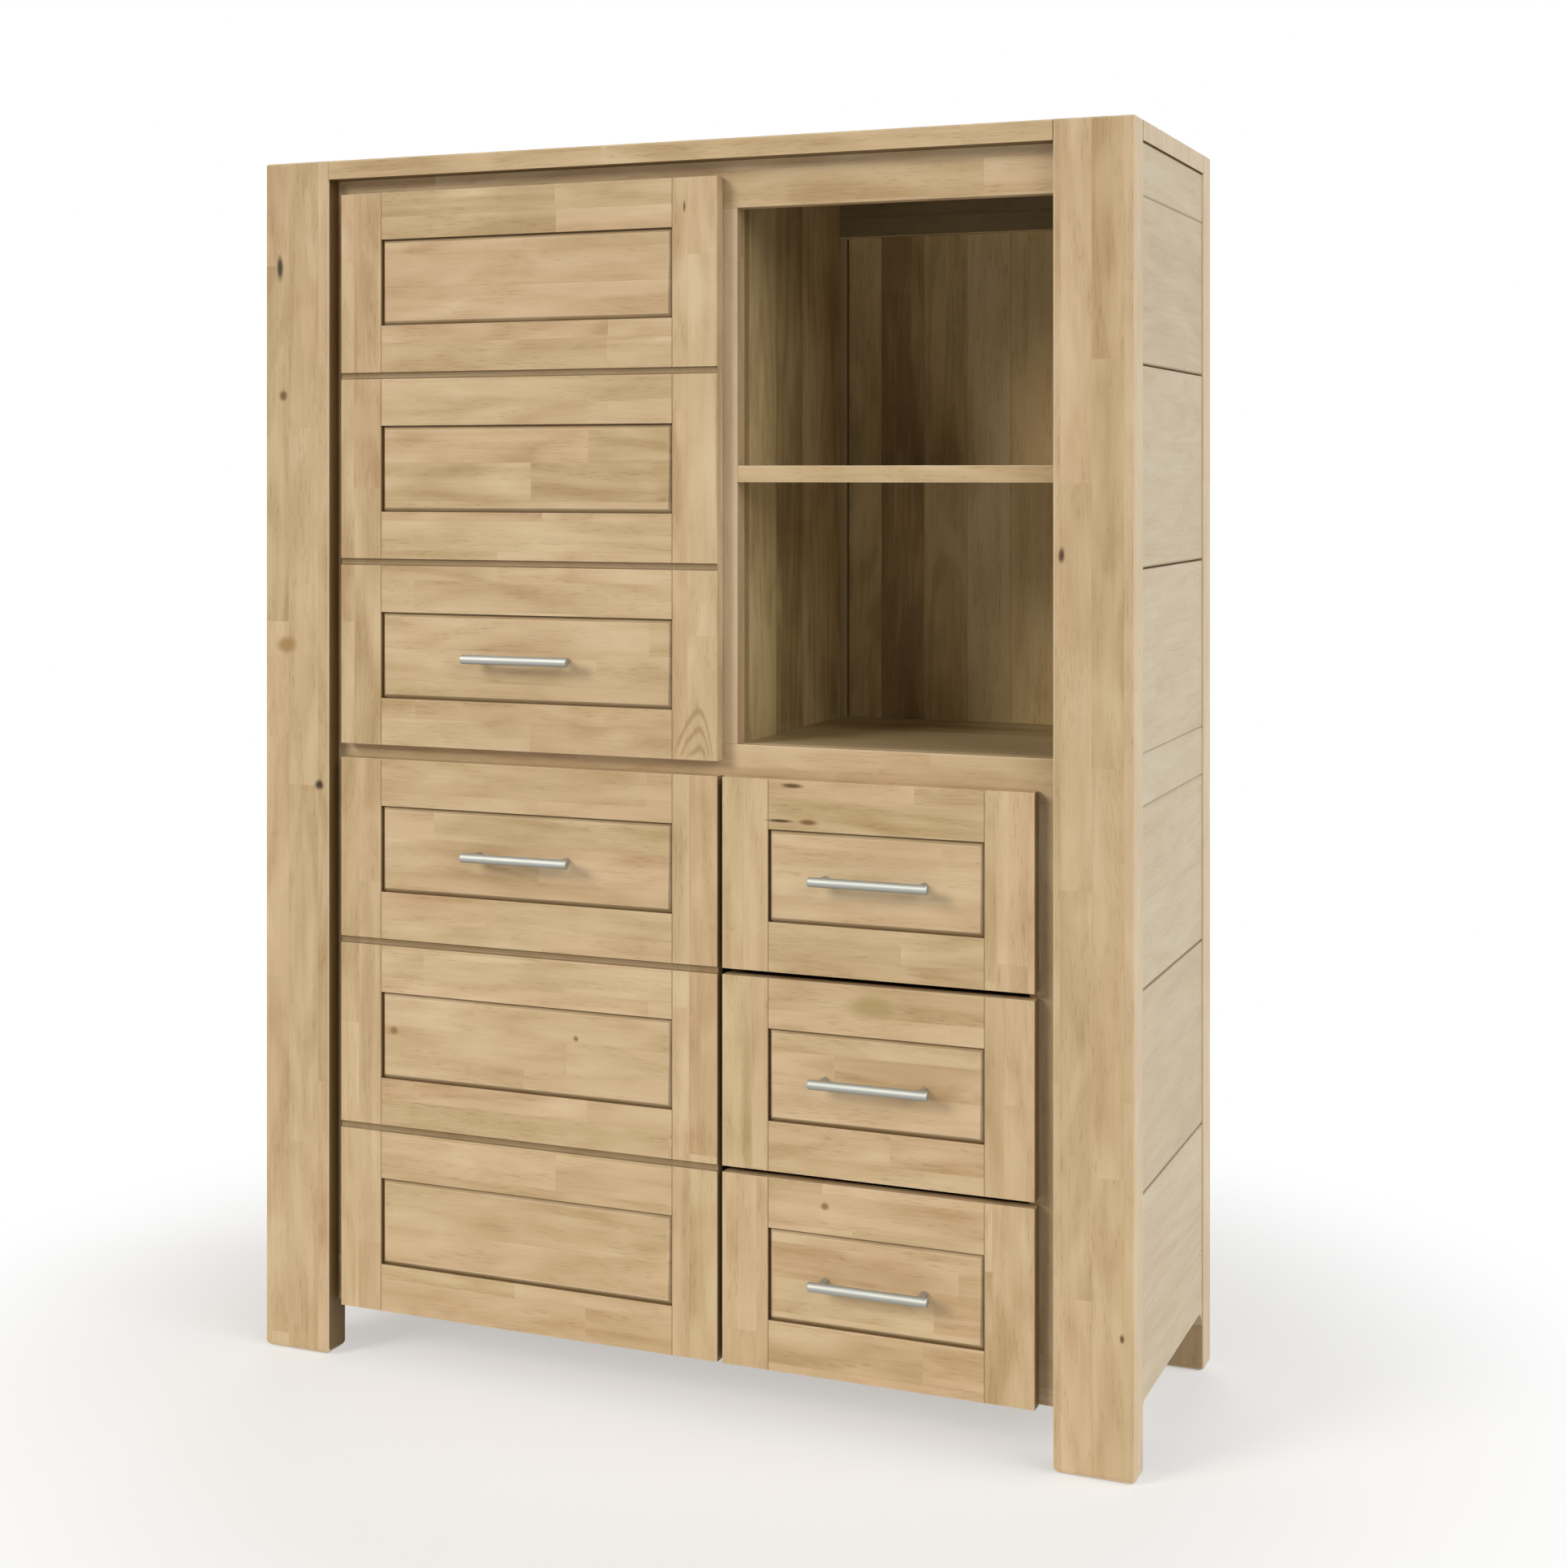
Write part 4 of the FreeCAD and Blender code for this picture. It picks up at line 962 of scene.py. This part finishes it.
# %% A tree that sets screws on points
screws, given = new_tree("screws_on_points", {
    "Geometry": "Geometry", "Head": "Object", "Head radius": "Float", "Material": "Material"})
facing = add(screws, "GeometryNodeInputNamedAttribute", {"Name": "facing"}, data_type="FLOAT_VECTOR")
turn = add(screws, "FunctionNodeAlignEulerToVector", {"Vector": facing}, axis="Z")
shape = add(screws, "GeometryNodeObjectInfo", {"Object": given["Head"]}).outputs["Geometry"]
size = add(screws, "ShaderNodeCombineXYZ", [given["Head radius"]] * 3)
heads = add(screws, "GeometryNodeInstanceOnPoints", {
    "Points": given["Geometry"], "Instance": shape, "Rotation": turn, "Scale": size})
end_tree(screws, heads, given)

# %% Screws on one body
HEAD_SMOOTH = 30  # degrees, over which an arris of a head stays sharp


def set_screws(name, body, points, facing, radius):
    """Screw heads at points that all face one way, as one piece on one body."""
    blank = bpy.data.meshes.new(name + "_points")
    blank.from_pydata(points, [], [])
    for item in blank.attributes.new("facing", "FLOAT_VECTOR", "POINT").data:
        item.vector = facing
    values = {"Head": screw_head, "Head radius": radius, "Material": nickel}
    piece = grow(name, blank, screws, values, HEAD_SMOOTH)
    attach(piece, body)


OUT_OF_FRAME, OUT_OF_BACK = (1, 0, 0), (0, 1, 0)
HINGE_SCREW, BACK_SCREW = 3.2 * MM, 3.6 * MM  # radii of the heads
print("radii of screw heads in mm:", round(HINGE_SCREW / MM, 1), round(BACK_SCREW / MM, 1))

# %% Where the screws are
LINK_HALF = 5.5 * MM  # half the height of a hinge link
CUP_WING, ARM_WING = 21.5 * MM, 16 * MM  # how far a screw sits above and below the hinge's middle
ARM_PLATE = 1.5 * MM  # thickness of an arm's plate
arm_low, arm_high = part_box("hinge_arms")
arm_points = []
for level in ("upper", "lower"):
    links_low, links_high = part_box(level + "_hinge_links")
    cup_low, cup_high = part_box(level + "_hinge_cups")
    cup_points = []
    for height in (links_low.z + LINK_HALF, links_high.z - LINK_HALF):
        for way in (-1, 1):
            arm_points.append((arm_low.x + ARM_PLATE, (arm_low.y + arm_high.y) / 2, height + way * ARM_WING))
            cup_points.append(((cup_low.x + cup_high.x) / 2, cup_high.y, height + way * CUP_WING))
    set_screws(level + "_cup_screws", level + "_door", cup_points, OUT_OF_BACK, HINGE_SCREW)

FROM_EDGE, FROM_CORNER = 9 * MM, 40 * MM  # how far a screw sits inside a back board
COLUMNS, ROWS = 7, 4
back_points = []
for node in ("lower_back_panel", "upper_back_panel"):
    low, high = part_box(node)
    for column in range(COLUMNS):
        x = low.x + FROM_CORNER + column * (high.x - low.x - 2 * FROM_CORNER) / (COLUMNS - 1)
        back_points += [(x, high.y, low.z + FROM_EDGE), (x, high.y, high.z - FROM_EDGE)]
    for row in range(1, ROWS):
        z = low.z + row * (high.z - low.z) / ROWS
        back_points.append((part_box("partition")[0].x + FROM_EDGE, high.y, z))
set_screws("back_screws", "carcass", back_points, OUT_OF_BACK, BACK_SCREW)
set_screws("arm_screws", "carcass", arm_points, OUT_OF_FRAME, HINGE_SCREW)
bpy.data.objects.remove(screw_head)
print(len(arm_points), "screws in hinge arms,", len(back_points), "in back boards")

# %% [markdown]
# ## A plain studio
# The cabinet stands on a pale floor in front of white. The world and the floor look white to the camera and
# in reflections, but light the wood only as much as a bright room does. A real backdrop would have to be
# lit so strongly that the wood paled, so Light Path tells what is seen from what is lit. The floor turns to
# full white only further out, and near the feet it keeps their shadow.

# %% Floor
FLOOR_HALF, FLOOR_LOW = 9.0, -0.6 * MM  # half its width, and how far it lies under the feet
FADE_FROM, FADE_TO = 0.6, 1.3  # metres from the middle between which it turns white
FADE_NEAR = 0.45  # how white it is near the feet


def seen(tree):
    """1 for what the camera sees, straight or mirrored, and 0 for light that falls on the wood."""
    path = add(tree, "ShaderNodeLightPath").outputs
    mirrored = add(tree, MATH, [path["Is Camera Ray"], path["Is Glossy Ray"]], operation="ADD")
    return add(tree, MATH, [mirrored, path["Is Transmission Ray"]], operation="ADD", use_clamp=True)


floor_mesh = bpy.data.meshes.new("studio_floor")
corners = [(FLOOR_HALF * x, FLOOR_HALF * y, FLOOR_LOW) for x, y in ((-1, -1), (1, -1), (1, 1), (-1, 1))]
floor_mesh.from_pydata(corners, [], [(0, 1, 2, 3)])
floor = show("studio_floor", floor_mesh)
# pale matt floor paint: it has no gloss, so that only the soft shadow shows on it
floor_paint, tree, shader = empty_material("pale_floor_paint", {
    "Base Color": linear("#f2f1ee"), "Roughness": 0.9})
place = add(tree, "ShaderNodeTexCoord").outputs["Object"]
away = add(tree, VECTOR, [place], operation="LENGTH").outputs["Value"]
fade = add(tree, RANGE, [away, FADE_FROM, FADE_TO, FADE_NEAR, 1], interpolation_type="SMOOTHSTEP")
share = add(tree, MATH, [fade, seen(tree)], operation="MULTIPLY")
white = add(tree, "ShaderNodeEmission", {"Color": (1, 1, 1, 1), "Strength": 1.0})
mixed = add(tree, "ShaderNodeMixShader", [share, shader, white])
output = next(node for node in tree.nodes if node.type == "OUTPUT_MATERIAL")
tree.links.new(mixed.outputs[0], output.inputs["Surface"])
floor_mesh.materials.append(floor_paint)
print("stage:", floor.name, round(2 * FLOOR_HALF), "m wide")

# %% World
ROOM_LIGHT = 0.14  # what a white room without its lamps would give
world = bpy.data.worlds.new("white_room")
scene.world = world
world.use_nodes = True
tree = world.node_tree
tree.nodes.clear()
room = add(tree, "ShaderNodeBackground", {"Color": linear("#f4f6fa"), "Strength": ROOM_LIGHT})
white = add(tree, "ShaderNodeBackground", {"Color": (1, 1, 1, 1), "Strength": 1.0})
mixed = add(tree, "ShaderNodeMixShader", [seen(tree), room, white])
add(tree, "ShaderNodeOutputWorld", {"Surface": mixed})
print("world:", world.name)

# %% [markdown]
# ### Lamps
# A broad warm lamp from the upper left draws the dark lines under rails and edges. A cooler one from the
# right lifts the side, a weak one from the front right opens the shadows, and a low one behind lights the
# back. All are far away, so the light is as strong at the feet as at the top, and all are wide, so their
# shadows are soft.

# %% Four broad lamps
LAMPS = {
    # degrees to the left and up as seen from the cabinet's front, strength, spread in degrees, colour
    "key_lamp": (38, 26, 1.85, 26, "#fff8ee"),
    "side_lamp": (-92, 36, 1.25, 34, "#f3f6ff"),
    "fill_lamp": (-58, 28, 1.0, 40, "#fffaf2"),
    "back_lamp": (158, 18, 0.9, 40, "#fbfaf6"),
}
LAMP_AWAY = 5  # metres, where the lamps stand in the view
for name, (left, up, strength, spread, colour) in LAMPS.items():
    data = bpy.data.lights.new(name, "SUN")
    data.energy = strength
    data.angle = math.radians(spread)
    data.color = linear(colour)[:3]
    lamp = show(name, data)
    left, up = math.radians(left), math.radians(up)
    towards = Vector((-math.sin(left) * math.cos(up), -math.cos(left) * math.cos(up), math.sin(up)))
    lamp.location = towards * LAMP_AWAY
    lamp.rotation_euler = towards.to_track_quat("Z", "Y").to_euler()
print("lamps:", ", ".join(LAMPS))

# %% [markdown]
# ## Camera
# Upright edges are parallel in the photograph, so the camera looks level and its picture is shifted down,
# as with a shift lens. Its place and angle come from the cabinet's own edges.

# %% Level camera with a shifted picture
PICTURE_WIDE, PICTURE_MIDDLE = 1931, 966  # pixels of the photograph
HORIZON = 585.5  # the row at the camera's own height
FOCAL = 2916  # focal length in pixels
SENSOR = 36.0
CAMERA_PLACE = (1.2545, -2.9065, 1.179)
CAMERA_TURN = 22.04  # degrees to the left
camera_data = bpy.data.cameras.new("photo_camera")
camera_data.sensor_fit = "HORIZONTAL"
camera_data.sensor_width = SENSOR
camera_data.lens = FOCAL / PICTURE_WIDE * SENSOR
camera_data.shift_y = -(PICTURE_MIDDLE - HORIZON) / PICTURE_WIDE
camera = show("photo_camera", camera_data)
camera.location = CAMERA_PLACE
camera.rotation_euler = (math.radians(90), 0, math.radians(CAMERA_TURN))
scene.camera = camera
scene.view_settings.view_transform = "Standard"
print("lens", round(camera_data.lens, 2), "mm, shift", round(camera_data.shift_y, 4))
